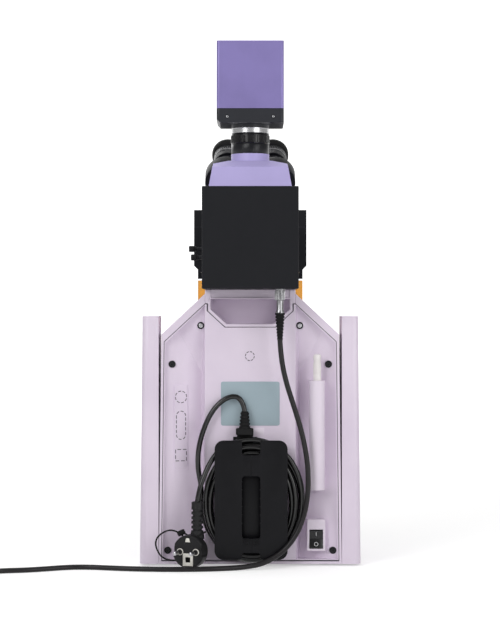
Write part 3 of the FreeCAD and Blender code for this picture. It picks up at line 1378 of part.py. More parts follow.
def make_mains_lead():
    radius = size("cord_radius")
    keep("mains_lead", group(shaped(tube("mains lead", LEAD_ROUTE, radius)),
                             shaped(tube("mains tail", TAIL_ROUTE, radius))))
    middle = Vector(size("winding_x"), size("winding_front"), size("winding_z"))
    depth = size("winder_face") - size("winder_thick") - size("gap") - size("winding_front")
    rings = []
    for inset in (0, size("winding_width")):
        turn = Part.Ellipse(Vector(), size("winding_half_height") - inset, size("winding_half") - inset)
        turn.Axis = Vector(0, 1, 0)
        turn.XAxis = Vector(0, 0, 1)
        turn.Center = middle
        face = Part.Face(Part.Wire([turn.toShape()]))
        rings.append(face.extrude(Vector(0, depth, 0)))
    keep("mains_winding", shaped(rings[0].cut(rings[1])))

    half = "inlet_half-panel_wall-gap*2"
    sides = (f"inlet_x-({half})", f"inlet_x+({half})")
    front = "rear_plane+gap"
    pins = block(sides, ("rear_plane-inlet_depth+gap", f"{front}+1"),
                 ("inlet_bottom+panel_wall+gap*2", "inlet_bottom+inlet_height-panel_wall-gap*2"))
    plate = block(sides, (front, "winding_front-gap"), ("winder_hub_top+gap*2", "boot_bottom"))
    shelf = block(sides, (front, "rear_plane+14"), ("winding_z+winding_half_height+gap*2", "boot_bottom"))
    boot = cone("z", "boot_radius", "cord_radius+1", "boot_bottom-1", "boot_top", ("boot_x", "lead_y"))
    keep("mains_connector", fuse(pins, plate, shelf, boot))

    body = rod("y", "plug_radius", 0, "plug_thick")
    pin_rods = [rod("y", "plug_pin_radius", "plug_thick-1", "plug_thick+plug_pin_length", (x, 0))
                for x in ("-plug_pin_spacing", "plug_pin_spacing")]
    plug = placed(fuse(body, *pin_rods), "plug_x", "plug_y", "plug_z", (0, 0, 1), "-plug_yaw")
    relief_x, relief_y, relief_z = TAIL_ROUTE[-1]
    relief = cone("z", "cord_radius*2.1", "cord_radius+1", "plug_z+plug_radius*0.7", relief_z,
                  (relief_x, relief_y))
    loop_at = Vector(size("plug_x") + size("loop_outset"), size("plug_y") - size("loop_setback"),
                     size("plug_z") + size("loop_rise"))
    loop = Part.makeTorus(size("loop_radius"), size("loop_thick"), loop_at, Vector(0, 1, 0))
    keep("mains_plug", group(fuse(plug, relief), shaped(loop)))


make_base()
make_feet()
make_arm()
make_housing()
make_cover()
make_wings()
make_screws()
make_cover_fittings()
make_switch()
make_inlet_and_winder()
make_insides()
make_light_exit()
make_focus_drive()
make_stage()
make_specimen_holder()
make_stage_knobs()
make_condenser()
make_nosepiece()
make_unit()
make_filter_turret()
make_illuminator()
make_shield()
make_lamp_house()
make_head()
for name, side, layer in (("eyetube_right", 1, 0), ("eyetube_left", -1, 1)):
    make_eye_tube(name, side, layer)
make_eyepiece("eyepiece_right", 1)
make_eyepiece("eyepiece_left", -1)
make_camera_port()
make_camera()
cords_from = len(parts)
make_lamp_lead()
make_mains_lead()
doc.recompute()

# The origin goes to the middle of the object's box, at the bench; the leads don't count.
own = list(parts.values())[:cords_from]
front = min(thing.Shape.BoundBox.YMin for thing in own)
rear = max(thing.Shape.BoundBox.YMax for thing in own)
for thing in parts.values():
    thing.Placement.Base = thing.Placement.Base - Vector(0, (front + rear) / 2, 0)
doc.recompute()
print(f"optical axis at Y {-(front + rear) / 2:.3f}")

for thing in doc.Objects:
    if "Invalid" in thing.State or "Error" in thing.State:
        raise RuntimeError(f"{thing.Label} failed: {thing.State}")
os.makedirs("parts", exist_ok=True)
for label, thing in parts.items():
    shape = thing.Shape
    if shape.isNull() or not shape.isValid() or not shape.Solids:
        raise RuntimeError(f"{label} has no valid shape")
    shape.exportStep(f"parts/{label}.step")
    box = shape.BoundBox
    print(f"{label}: {len(shape.Solids)} solids, X {box.XMin:.1f} {box.XMax:.1f}, "
          f"Y {box.YMin:.1f} {box.YMax:.1f}, Z {box.ZMin:.1f} {box.ZMax:.1f}")
print(f"{len(parts)} sub-parts")
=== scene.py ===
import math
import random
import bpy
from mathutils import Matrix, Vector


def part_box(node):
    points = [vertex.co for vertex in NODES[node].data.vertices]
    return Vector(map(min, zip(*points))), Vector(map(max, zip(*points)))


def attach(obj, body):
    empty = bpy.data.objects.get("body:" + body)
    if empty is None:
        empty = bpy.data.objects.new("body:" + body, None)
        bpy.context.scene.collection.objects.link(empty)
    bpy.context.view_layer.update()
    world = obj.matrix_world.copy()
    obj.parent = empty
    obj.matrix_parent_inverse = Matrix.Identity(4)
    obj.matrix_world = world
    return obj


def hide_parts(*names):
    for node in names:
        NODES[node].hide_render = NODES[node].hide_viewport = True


bl_info = {
    "name": "Fluorescence Microscope",
    "version": (1, 0, 0),
    "blender": (4, 5, 0),
    "location": "View3D > Sidebar > Microscope",
    "description": "Dresses a fluorescence microscope with its leads, fittings and finishes",
    "category": "Add Mesh",
}

import bmesh
import bpy
from bpy.props import FloatProperty, FloatVectorProperty, PointerProperty
from mathutils import Matrix, Vector

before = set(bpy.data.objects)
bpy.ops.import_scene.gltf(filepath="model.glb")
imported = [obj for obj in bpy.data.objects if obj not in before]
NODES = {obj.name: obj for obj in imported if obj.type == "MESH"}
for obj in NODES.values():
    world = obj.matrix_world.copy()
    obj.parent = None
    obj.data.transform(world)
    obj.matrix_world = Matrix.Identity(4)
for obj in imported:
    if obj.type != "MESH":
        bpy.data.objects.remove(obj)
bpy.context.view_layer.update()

X, Y, Z = Vector((1, 0, 0)), Vector((0, 1, 0)), Vector((0, 0, 1))


def middle(node):
    """Centre of a node's box."""
    low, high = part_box(node)
    return (Vector(low) + Vector(high)) / 2


def mm(value):
    return value / 1000


# Row of the optical axis in metres, and the rear face of the cover in millimetres behind it
AXIS_Y = middle("field_lens").y
COVER_FACE = 205


def at(x, y, z):
    """A place in millimetres from the optical axis at bench height, as a point in metres."""
    return Vector((mm(x), mm(y) + AXIS_Y, mm(z)))


# Settings that a user would change

def colour(name, words, value):
    return FloatVectorProperty(name=name, description=words, default=value, subtype="COLOR",
                               size=3, min=0, max=1)


def length(name, words, value):
    return FloatProperty(name=name, description=words, default=value, unit="LENGTH",
                         subtype="DISTANCE", min=0, precision=4)


class MICROSCOPE_PG_colours(bpy.types.PropertyGroup):
    """Paint, plastic and metal colours, as linear values"""
    enamel: colour("Enamel", "Pale lavender paint of the stand", (0.770, 0.680, 0.795))
    enamel_shade: colour("Enamel Shade", "Second tone of the stand's paint", (0.715, 0.625, 0.745))
    pale_plastic: colour("Pale Plastic", "Moulded fittings of the rear cover", (0.770, 0.690, 0.790))
    head: colour("Head", "Lavender paint of the viewing head", (0.520, 0.460, 0.810))
    camera: colour("Camera", "Purple anodising of the camera", (0.255, 0.213, 0.490))
    black_paint: colour("Black Paint", "Matt paint of the lamp house and attachment",
                        (0.0075, 0.0080, 0.0105))
    black_plastic: colour("Black Plastic", "Moulded plastic of the small fittings", (0.0065, 0.0065, 0.0080))
    rubber: colour("Rubber", "Soft rubber of the feet, cups and boots", (0.0055, 0.0055, 0.0060))
    jacket: colour("Cable Jacket", "Jacket of the lamp cable", (0.0095, 0.0080, 0.0092))
    shield: colour("Shield", "Transparent shield in front of the specimen", (0.92, 0.40, 0.030))
    label: colour("Label", "Bare foil of the rear label", (0.340, 0.430, 0.480))
    steel: colour("Steel", "Machined metal", (0.52, 0.52, 0.54))


class MICROSCOPE_PG_sizes(bpy.types.PropertyGroup):
    """Edge radii and lead sizes"""
    casting_edge: length("Casting Edge", "Radius of the painted castings' edges", 0.0012)
    sheet_edge: length("Sheet Edge", "Radius of the sheet metal edges", 0.0006)
    small_edge: length("Small Edge", "Radius of the small fittings' edges", 0.0004)
    lead_diameter: length("Lead Diameter", "Diameter of both leads", 0.006)
    mains_length: length("Mains Length", "Length of the mains lead", 1.9)
    lamp_length: length("Lamp Cable Length", "Length of the lamp cable", 1.5)


# Finishes

FINISHES = {}


def link(tree, out, into):
    tree.links.new(out, into)


def shader(name):
    """Adds a finish with a Principled shader; returns its nodes, the shader and object coordinates."""
    material = bpy.data.materials.new(name)
    material.use_nodes = True
    tree = material.node_tree
    body = tree.nodes["Principled BSDF"]
    place = tree.nodes.new("ShaderNodeTexCoord").outputs["Object"]
    FINISHES[name] = material
    return tree, body, place


def noise(tree, place, scale, detail=3.0, stretch=None, roughness=0.5):
    """Noise with a scale in cells for each metre; stretch squeezes it along an axis."""
    if stretch:
        turn = tree.nodes.new("ShaderNodeMapping")
        turn.inputs["Scale"].default_value = stretch
        link(tree, place, turn.inputs["Vector"])
        place = turn.outputs["Vector"]
    cells = tree.nodes.new("ShaderNodeTexNoise")
    cells.inputs["Scale"].default_value = scale
    cells.inputs["Detail"].default_value = detail
    cells.inputs["Roughness"].default_value = roughness
    link(tree, place, cells.inputs["Vector"])
    return cells.outputs["Fac"]


def blend_tones(tree, fac, tones, stops=(0.35, 0.65)):
    ramp = tree.nodes.new("ShaderNodeValToRGB")
    for element, stop, tone in zip(ramp.color_ramp.elements, stops, tones):
        element.position = stop
        element.color = (*tone, 1)
    link(tree, fac, ramp.inputs["Fac"])
    return ramp.outputs["Color"]


def spread(tree, fac, low, high, start=0.3, stop=0.7):
    """Turns noise into a range of values."""
    ranged = tree.nodes.new("ShaderNodeMapRange")
    for socket, value in zip(("From Min", "From Max", "To Min", "To Max"), (start, stop, low, high)):
        ranged.inputs[socket].default_value = value
    link(tree, fac, ranged.inputs["Value"])
    return ranged.outputs["Result"]


def relief(tree, height, strength, distance):
    bump = tree.nodes.new("ShaderNodeBump")
    bump.inputs["Strength"].default_value = strength
    bump.inputs["Distance"].default_value = distance
    link(tree, height, bump.inputs["Height"])
    return bump.outputs["Normal"]


def painted_edge_highlight(tree, base, highlight_tone, radius, amount):
    """Mixes a paler tone in along the edges: a painted highlight where the edges catch the light."""
    soft = tree.nodes.new("ShaderNodeBevel")
    soft.samples = 4
    soft.inputs["Radius"].default_value = radius
    flat = tree.nodes.new("ShaderNodeNewGeometry").outputs["Normal"]
    dot = tree.nodes.new("ShaderNodeVectorMath")
    dot.operation = "DOT_PRODUCT"
    link(tree, soft.outputs["Normal"], dot.inputs[0])
    link(tree, flat, dot.inputs[1])
    mask = spread(tree, dot.outputs["Value"], amount, 0.0, 0.80, 0.985)
    mix = tree.nodes.new("ShaderNodeMix")
    mix.data_type = "RGBA"
    link(tree, mask, mix.inputs["Factor"])
    link(tree, base, mix.inputs["A"])
    mix.inputs["B"].default_value = (*highlight_tone, 1)
    return mix.outputs["Result"]


def tinted(tone, factor):
    return tuple(min(1.0, value * factor) for value in tone)


def paint(name, tone, shade=None, rough=(0.42, 0.52), grain=1400, depth=0.00004, edge=0.25,
          specular=0.45, highlight_lift=1.25):
    """Sprayed enamel: a fine orange peel, cloudy tone and a painted highlight along the edges."""
    tree, body, place = shader(name)
    shade = shade or tinted(tone, 0.93)
    cloud = blend_tones(tree, noise(tree, place, 14, 4), (tone, shade))
    # the paler tone along the edges is a painted highlight
    link(tree, painted_edge_highlight(tree, cloud, tinted(tone, highlight_lift), 0.0012, edge), body.inputs["Base Color"])
    link(tree, spread(tree, noise(tree, place, 60, 5), *rough), body.inputs["Roughness"])
    peel = noise(tree, place, grain, 2, roughness=0.35)
    link(tree, relief(tree, peel, 0.35, depth), body.inputs["Normal"])
    body.inputs["Specular IOR Level"].default_value = specular


def plastic(name, tone, rough=(0.38, 0.52), grain=2600, depth=0.00003, coat=0.0, shade=None, specular=0.5):
    """Moulded plastic with a fine spark-eroded grain and faint handling marks."""
    tree, body, place = shader(name)
    marks = noise(tree, place, 35, 6, roughness=0.65)
    link(tree, blend_tones(tree, marks, (tone, shade or tinted(tone, 1.25)), (0.45, 0.75)),
         body.inputs["Base Color"])
    link(tree, spread(tree, marks, *rough), body.inputs["Roughness"])
    link(tree, relief(tree, noise(tree, place, grain, 1), 0.4, depth), body.inputs["Normal"])
    body.inputs["Coat Weight"].default_value = coat
    body.inputs["Coat Roughness"].default_value = 0.12
    body.inputs["Specular IOR Level"].default_value = specular


def machined(name, tone, rough=(0.22, 0.38), stretch=(1, 1, 60), scale=90, depth=0.000012, shade=None):
    """Turned or brushed metal: fine lines along one direction."""
    tree, body, place = shader(name)
    lines = noise(tree, place, scale, 4, stretch)
    link(tree, blend_tones(tree, lines, (tone, shade or tinted(tone, 0.82))), body.inputs["Base Color"])
    link(tree, spread(tree, lines, *rough), body.inputs["Roughness"])
    link(tree, relief(tree, lines, 0.3, depth), body.inputs["Normal"])
    body.inputs["Metallic"].default_value = 1.0


def anodised(name, tone, rough=(0.34, 0.46), metallic=0.75, highlight_lift=2.2, edge=0.5, specular=0.5):
    """Bead-blasted and anodised aluminium with a painted highlight along its edges."""
    tree, body, place = shader(name)
    blast = noise(tree, place, 3800, 1)
    cloud = blend_tones(tree, noise(tree, place, 22, 3), (tone, tinted(tone, 0.9)))
    # the paler tone along the edges is a painted highlight
    link(tree, painted_edge_highlight(tree, cloud, tinted(tone, highlight_lift), 0.0009, edge), body.inputs["Base Color"])
    link(tree, spread(tree, blast, *rough), body.inputs["Roughness"])
    link(tree, relief(tree, blast, 0.3, 0.00002), body.inputs["Normal"])
    body.inputs["Metallic"].default_value = metallic
    body.inputs["Specular IOR Level"].default_value = specular


def jacket(name, tone, rough, scale=420, specular=0.3):
    """Extruded cable jacket, with faint scuffs along its run."""
    tree, body, place = shader(name)
    scuffs = noise(tree, place, scale, 5, roughness=0.6)
    link(tree, blend_tones(tree, scuffs, (tone, tinted(tone, 1.9)), (0.5, 0.85)), body.inputs["Base Color"])
    link(tree, spread(tree, scuffs, *rough), body.inputs["Roughness"])
    link(tree, relief(tree, noise(tree, place, 900, 2), 0.25, 0.00003), body.inputs["Normal"])
    body.inputs["Specular IOR Level"].default_value = specular


def clear(name, tone, alpha, rough, ior=1.49, transmission=0.85):
    """Transparent plastic or coated glass with faint wipe marks."""
    tree, body, place = shader(name)
    marks = noise(tree, place, 45, 6, roughness=0.7)
    link(tree, blend_tones(tree, marks, (tone, tinted(tone, 0.9))), body.inputs["Base Color"])
    link(tree, spread(tree, marks, *rough), body.inputs["Roughness"])
    link(tree, relief(tree, noise(tree, place, 9, 2), 0.05, 0.0004), body.inputs["Normal"])
    body.inputs["IOR"].default_value = ior
    body.inputs["Transmission Weight"].default_value = transmission
    body.inputs["Alpha"].default_value = alpha


# Shapes. Each part is a small bmesh of its own, gathered into one piece with its tones.

def placing(origin, outward, right=None):
    """A matrix whose Z points outward and whose X points right."""
    outward = Vector(outward).normalized()
    if right is None:
        right = X if abs(outward.x) < 0.9 else Y
    right = Vector(right) - outward * outward.dot(Vector(right))
    right.normalize()
    up = outward.cross(right)
    turn = Matrix((right, up, outward)).transposed().to_4x4()
    return Matrix.Translation(Vector(origin)) @ turn


def lathe(profile, sides=64, ribs=None):
    """Turns (radius, height) points about Z; ribs are the (count, depth, low, high) of its grooves."""
    form = bmesh.new()
    count = sides
    if ribs:
        count = ribs[0] * 4
    rings = []
    for radius, height in profile:
        if radius <= 0:
            rings.append([form.verts.new((0, 0, height))])
            continue
        ring = []
        for step in range(count):
            angle = 2 * math.pi * step / count
            reach = radius
            if ribs and ribs[2] - 1e-9 <= height <= ribs[3] + 1e-9 and step % 4 in (0, 1):
                reach -= ribs[1]
            ring.append(form.verts.new((reach * math.cos(angle), reach * math.sin(angle), height)))
        rings.append(ring)
    for low, high in zip(rings, rings[1:]):
        for step in range(count):
            ahead = (step + 1) % count
            if len(low) == 1 and len(high) == 1:
                continue
            if len(low) == 1:
                form.faces.new((low[0], high[ahead], high[step]))
            elif len(high) == 1:
                form.faces.new((low[step], low[ahead], high[0]))
            else:
                form.faces.new((low[step], low[ahead], high[ahead], high[step]))
    for ring in (rings[0], rings[-1]):
        if len(ring) > 1 and profile[0] != profile[-1]:
            form.faces.new(ring)
    if profile[0] == profile[-1] and len(rings[0]) > 1:
        bmesh.ops.remove_doubles(form, verts=rings[0] + rings[-1], dist=1e-7)
    bmesh.ops.recalc_face_normals(form, faces=form.faces)
    return form


def box_between(low, high, edge=0.0):
    """A block with rounded edges."""
    form = bmesh.new()
    low, high = Vector(low), Vector(high)
    bmesh.ops.create_cube(form, size=1.0)
    for vert in form.verts:
        vert.co = Vector(((vert.co[i] + 0.5) * (high[i] - low[i]) + low[i]) for i in range(3))
    if edge:
        bmesh.ops.bevel(form, geom=list(form.edges), offset=edge, segments=2,
                        profile=0.5, affect="EDGES", clamp_overlap=True)
    return form


def slab(outline, low, high, edge=0.0, segments=2, corners=0.0):
    """An outline in XY, pulled from one height to another, with rounded rims and corners."""
    form = bmesh.new()
    base = [form.verts.new((x, y, low)) for x, y in outline]
    face = form.faces.new(base)
    grown = bmesh.ops.extrude_face_region(form, geom=[face])
    for vert in grown["geom"]:
        if isinstance(vert, bmesh.types.BMVert):
            vert.co.z = high
    bmesh.ops.recalc_face_normals(form, faces=form.faces)
    if corners:
        upright = [e for e in form.edges if abs(e.verts[0].co.z - e.verts[1].co.z) > 1e-6]
        bmesh.ops.bevel(form, geom=upright, offset=corners, segments=5, profile=0.5,
                        affect="EDGES", clamp_overlap=True)
    if edge:
        rims = [e for e in form.edges if e.calc_face_angle(0) > 0.7
                and all(abs(vert.co.z - high) < 1e-7 for vert in e.verts)]
        bmesh.ops.bevel(form, geom=rims, offset=edge, segments=segments, profile=0.5,
                        affect="EDGES", clamp_overlap=True)
    return form


def sweep(points, radius, sides=12, closed=False):
    """A round bar through points."""
    form = bmesh.new()
    points = [Vector(p) for p in points]
    count = len(points)
    heading = (points[1] - points[0]).normalized()
    side = heading.orthogonal().normalized()
    rings = []
    for i, point in enumerate(points):
        before = points[i - 1] if i or closed else point
        after = points[(i + 1) % count] if i < count - 1 or closed else point
        along = (after - before).normalized()
        side = (side - along * side.dot(along)).normalized()
        up = along.cross(side)
        rings.append([form.verts.new(point + radius * (side * math.cos(a) + up * math.sin(a)))
                      for a in (2 * math.pi * k / sides for k in range(sides))])
    pairs = list(zip(rings, rings[1:]))
    if closed:
        pairs.append((rings[-1], rings[0]))
    for low, high in pairs:
        for k in range(sides):
            form.faces.new((low[k], low[(k + 1) % sides], high[(k + 1) % sides], high[k]))
    if not closed:
        form.faces.new(rings[0])
        form.faces.new(rings[-1])
    bmesh.ops.recalc_face_normals(form, faces=form.faces)
    return form


def circle(radius, sides=48, centre=(0, 0)):
    return [(centre[0] + radius * math.cos(2 * math.pi * k / sides),
             centre[1] + radius * math.sin(2 * math.pi * k / sides)) for k in range(sides)]


class Piece:
    """Gathers parts into one mesh; each part has a place and a tone."""

    def __init__(self, name, *tones):
        self.name = name
        self.tones = tones
        self.form = bmesh.new()

    def add(self, part, place=None, tone=0):
        for face in part.faces:
            face.material_index = tone
            face.smooth = True
        if place is not None:
            part.transform(place)
        scratch = bpy.data.meshes.new("scratch")
        part.to_mesh(scratch)
        part.free()
        self.form.from_mesh(scratch)
        bpy.data.meshes.remove(scratch)

    def done(self, body, slot, instead_of=(), sharp=32):
        for edge in self.form.edges:
            edge.smooth = edge.calc_face_angle(0) < math.radians(sharp)
        mesh = bpy.data.meshes.new(self.name)
        self.form.to_mesh(mesh)
        self.form.free()
        made = bpy.data.objects.new(self.name, mesh)
        bpy.context.scene.collection.objects.link(made)
        for tone in self.tones:
            mesh.materials.append(FINISHES[tone])
        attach(made, body)
        if instead_of:
            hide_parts(*instead_of)
        return made


def dress(node, tone, edge=None, sharp=30, segments=2):
    """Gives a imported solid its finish, and softens its edges."""
    thing = NODES[node]
    thing.data.materials.clear()
    thing.data.materials.append(FINISHES[tone])
    if edge:
        weld = thing.modifiers.new("Weld", "WELD")
        weld.merge_threshold = 0.000002
        soft = thing.modifiers.new("Edges", "BEVEL")
        soft.width = edge
        soft.segments = segments
        soft.limit_method = "ANGLE"
        soft.angle_limit = math.radians(sharp)
        soft.use_clamp_overlap = True
        soft.harden_normals = True


def lead(name, route, diameter, tone):
    """A lead as one smooth spline, with the route's places as its control points."""
    curve = bpy.data.curves.new(name, "CURVE")
    curve.dimensions = "3D"
    curve.bevel_depth = diameter / 2
    curve.bevel_resolution = 4
    curve.resolution_u = 6
    curve.use_fill_caps = True
    line = curve.splines.new("NURBS")
    line.points.add(len(route) - 1)
    for point, place in zip(line.points, route):
        point.co = (*place, 1)
    line.order_u = 3
    line.use_endpoint_u = True
    made = bpy.data.objects.new(name, curve)
    bpy.context.scene.collection.objects.link(made)
    curve.materials.append(FINISHES[tone])
    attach(made, "stand")
    return made


# Leads. Each route's places are millimetres from the optical axis at bench height.

LAMP_ROUTE = [
    (-34, 232, 263), (-35, 232, 243), (-41, 231, 214), (-51, 230, 184), (-60.5, 229, 152),
    (-66.5, 228, 118), (-66.5, 228, 82), (-59, 229, 50), (-43, 231, 24), (-18, 235, 7),
    (9, 241, 3.1), (39, 251.5, 3.1), (71, 256, 3.1), (103, 255.5, 3.1), (134, 251, 3.1),
    (160, 243.5, 3.1), (184, 236, 3.1), (206, 236.5, 3.1), (228, 248.5, 3.1), (252, 261.5, 3.1),
    (280, 267, 3.1), (299, 279, 3.1),
]
LAMP_COIL = {"middle": (335, 262), "radius": 38.4, "turns": 4.43, "start": 2.45}
LAMP_TAIL = [(373.2, 252, 7.6), (373.2, 243, 6.4), (373.2, 234, 6.2)]

LEAD_ROUTE = [
    (6.4, 212.5, 180), (8.2, 212.5, 190.5), (17, 212.7, 198.5), (32, 213, 193.5), (45.5, 213.2, 178.5),
    (55, 213, 157), (60.5, 212.4, 134), (60.5, 212, 112),
]
WINDING = {"middle": (-3.0, 77.5), "half": 61.2, "half_height": 73, "turns": 4.87, "start": 0.24}
TAIL_ROUTE = [
    (33, 218.3, 137.5), (41, 219.5, 129.5), (48, 222.5, 118), (54.5, 226, 103),
    (58.8, 227.8, 89.5), (60.8, 228, 77),
]


def section_walk(corners, share):
    """Place on a path through the corners, at a share of its length."""
    corners = [Vector(c) for c in corners]
    spans = [(b - a).length for a, b in zip(corners, corners[1:])]
    left = share * sum(spans)
    for a, b, span in zip(corners, corners[1:], spans):
        if left <= span:
            return a.lerp(b, left / span)
        left -= span
    return corners[-1]


def wound(turns, start, corners, place, steps=14, seed=3):
    """Places of a winding that goes clockwise; corners say how far in and how high its turns lie."""
    loose = random.Random(seed)
    count = round(turns * steps)
    places = []
    for step in range(count + 1):
        angle = start - 2 * math.pi * turns * step / count
        inset, height = section_walk(corners, step / count)
        places.append(place(angle, inset + loose.uniform(-0.35, 0.35), height))
    return places


def lamp_cable_places():
    x, y = LAMP_COIL["middle"]

    def place(angle, inset, height):
        reach = LAMP_COIL["radius"] - inset
        return x + reach * math.cos(angle), y + reach * math.sin(angle), height

    turns = LAMP_COIL["start"] / (2 * math.pi) + 4
    coil = wound(turns, LAMP_COIL["start"], ((0, 3.1), (9.3, 3.1), (9.3, 9.6), (0, 9.6)), place)
    return LAMP_ROUTE + coil + LAMP_TAIL


def mains_cord_places():
    x, z = WINDING["middle"]

    def place(angle, inset, depth):
        inset *= 1 + 0.35 * math.sin(angle) - 0.15 * math.cos(angle)
        return (x + (WINDING["half"] - inset) * math.cos(angle), depth,
                z + (WINDING["half_height"] - inset) * math.sin(angle))

    turns = wound(WINDING["turns"], WINDING["start"],
                  ((0, 211.9), (13, 211.9), (13, 218.3), (0, 218.3)), place)
    return LEAD_ROUTE + turns + TAIL_ROUTE


def ribbed_sleeve(low, high, wide, narrow, ribs):
    """Profile of a tapered strain relief with grooves; radii and heights in metres."""
    profile = [(0, low)]
    pitch = (high - low) / ribs
    for rib in range(ribs):
        start = low + rib * pitch
        radius = wide + (narrow - wide) * rib / max(1, ribs - 1)
        dip = radius - min(0.0011, radius * 0.2)
        profile += [(radius - 0.0004, start), (radius, start + 0.0004),
                    (radius, start + pitch * 0.6), (dip, start + pitch * 0.68), (dip, start + pitch * 0.96)]
    return profile + [(0, high)]


class MICROSCOPE_OT_lamp_cable(bpy.types.Operator):
    """Lamp cable, its strain relief, its plug at the lamp house and the connector on its far end"""
    bl_idname = "microscope.lamp_cable"
    bl_label = "Lamp Cable"

    def execute(self, context):
        sizes = context.scene.microscope_sizes
        cable = lead("lamp_lead", [at(*p) for p in lamp_cable_places()], sizes.lead_diameter, "cable jacket")
        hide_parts("lamp_cable", "lamp_coil")

        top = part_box("lamp_house")[0][2]
        start = at(-34, 232, 0)
        plug = Piece("lamp_plug", "plug metal", "rubber")
        body = placing(Vector((start.x, start.y, top)), -Z)
        plug.add(lathe([(0.0050, 0), (0.0062, 0), (0.0062, 0.0008), (0.0056, 0.0012), (0.0056, 0.0020),
                        (0.0060, 0.0024), (0.0060, 0.0118), (0.0055, 0.0126), (0.0043, 0.0130),
                        (0.0040, 0.0132), (0.0040, 0.0236), (0.0052, 0.0262), (0.0052, 0.0274),
                        (0.0046, 0.0278), (0, 0.0278)], ribs=(18, 0.0007, 0.0024, 0.0118)), body)
        plug.add(lathe([(0, 0), (0.0006, 0.0002), (0.0009, 0.0008), (0, 0.0011)], 16),
                 placing(body @ Vector((0, -0.0049, 0.0266)), Y), 1)
        sleeve = ribbed_sleeve(0.0274, 0.0592, 0.0056, 0.0034, 9)
        plug.add(lathe(sleeve, 40), body, 1)
        near = plug.done("stand", "bright_metal", ["lamp_plugs"])

        far = Piece("lamp_connector", "plug metal", "rubber")
        body = placing(at(373.2, 234, 6.2), -Y)
        far.add(lathe(ribbed_sleeve(0, 0.0176, 0.0038, 0.0055, 6), 36), body, 1)
        far.add(lathe([(0, 0.0176), (0.0058, 0.0176), (0.0062, 0.0182), (0.0062, 0.031), (0.0057, 0.0316),
                       (0.0057, 0.0440), (0.0050, 0.0440), (0.0050, 0.0380), (0, 0.0380)],
                      ribs=(28, 0.0003, 0.0182, 0.031)), body)
        for pin in range(4):
            turn = math.radians(45 + 90 * pin)
            place = body @ Matrix.Translation((0.0026 * math.cos(turn), 0.0026 * math.sin(turn), 0.038))
            far.add(lathe([(0.0005, 0), (0.0005, 0.0042), (0, 0.0047)], 12), place)
        end = far.done("stand", "bright_metal")
        at(-34, 232, 263)
        return {"FINISHED"}


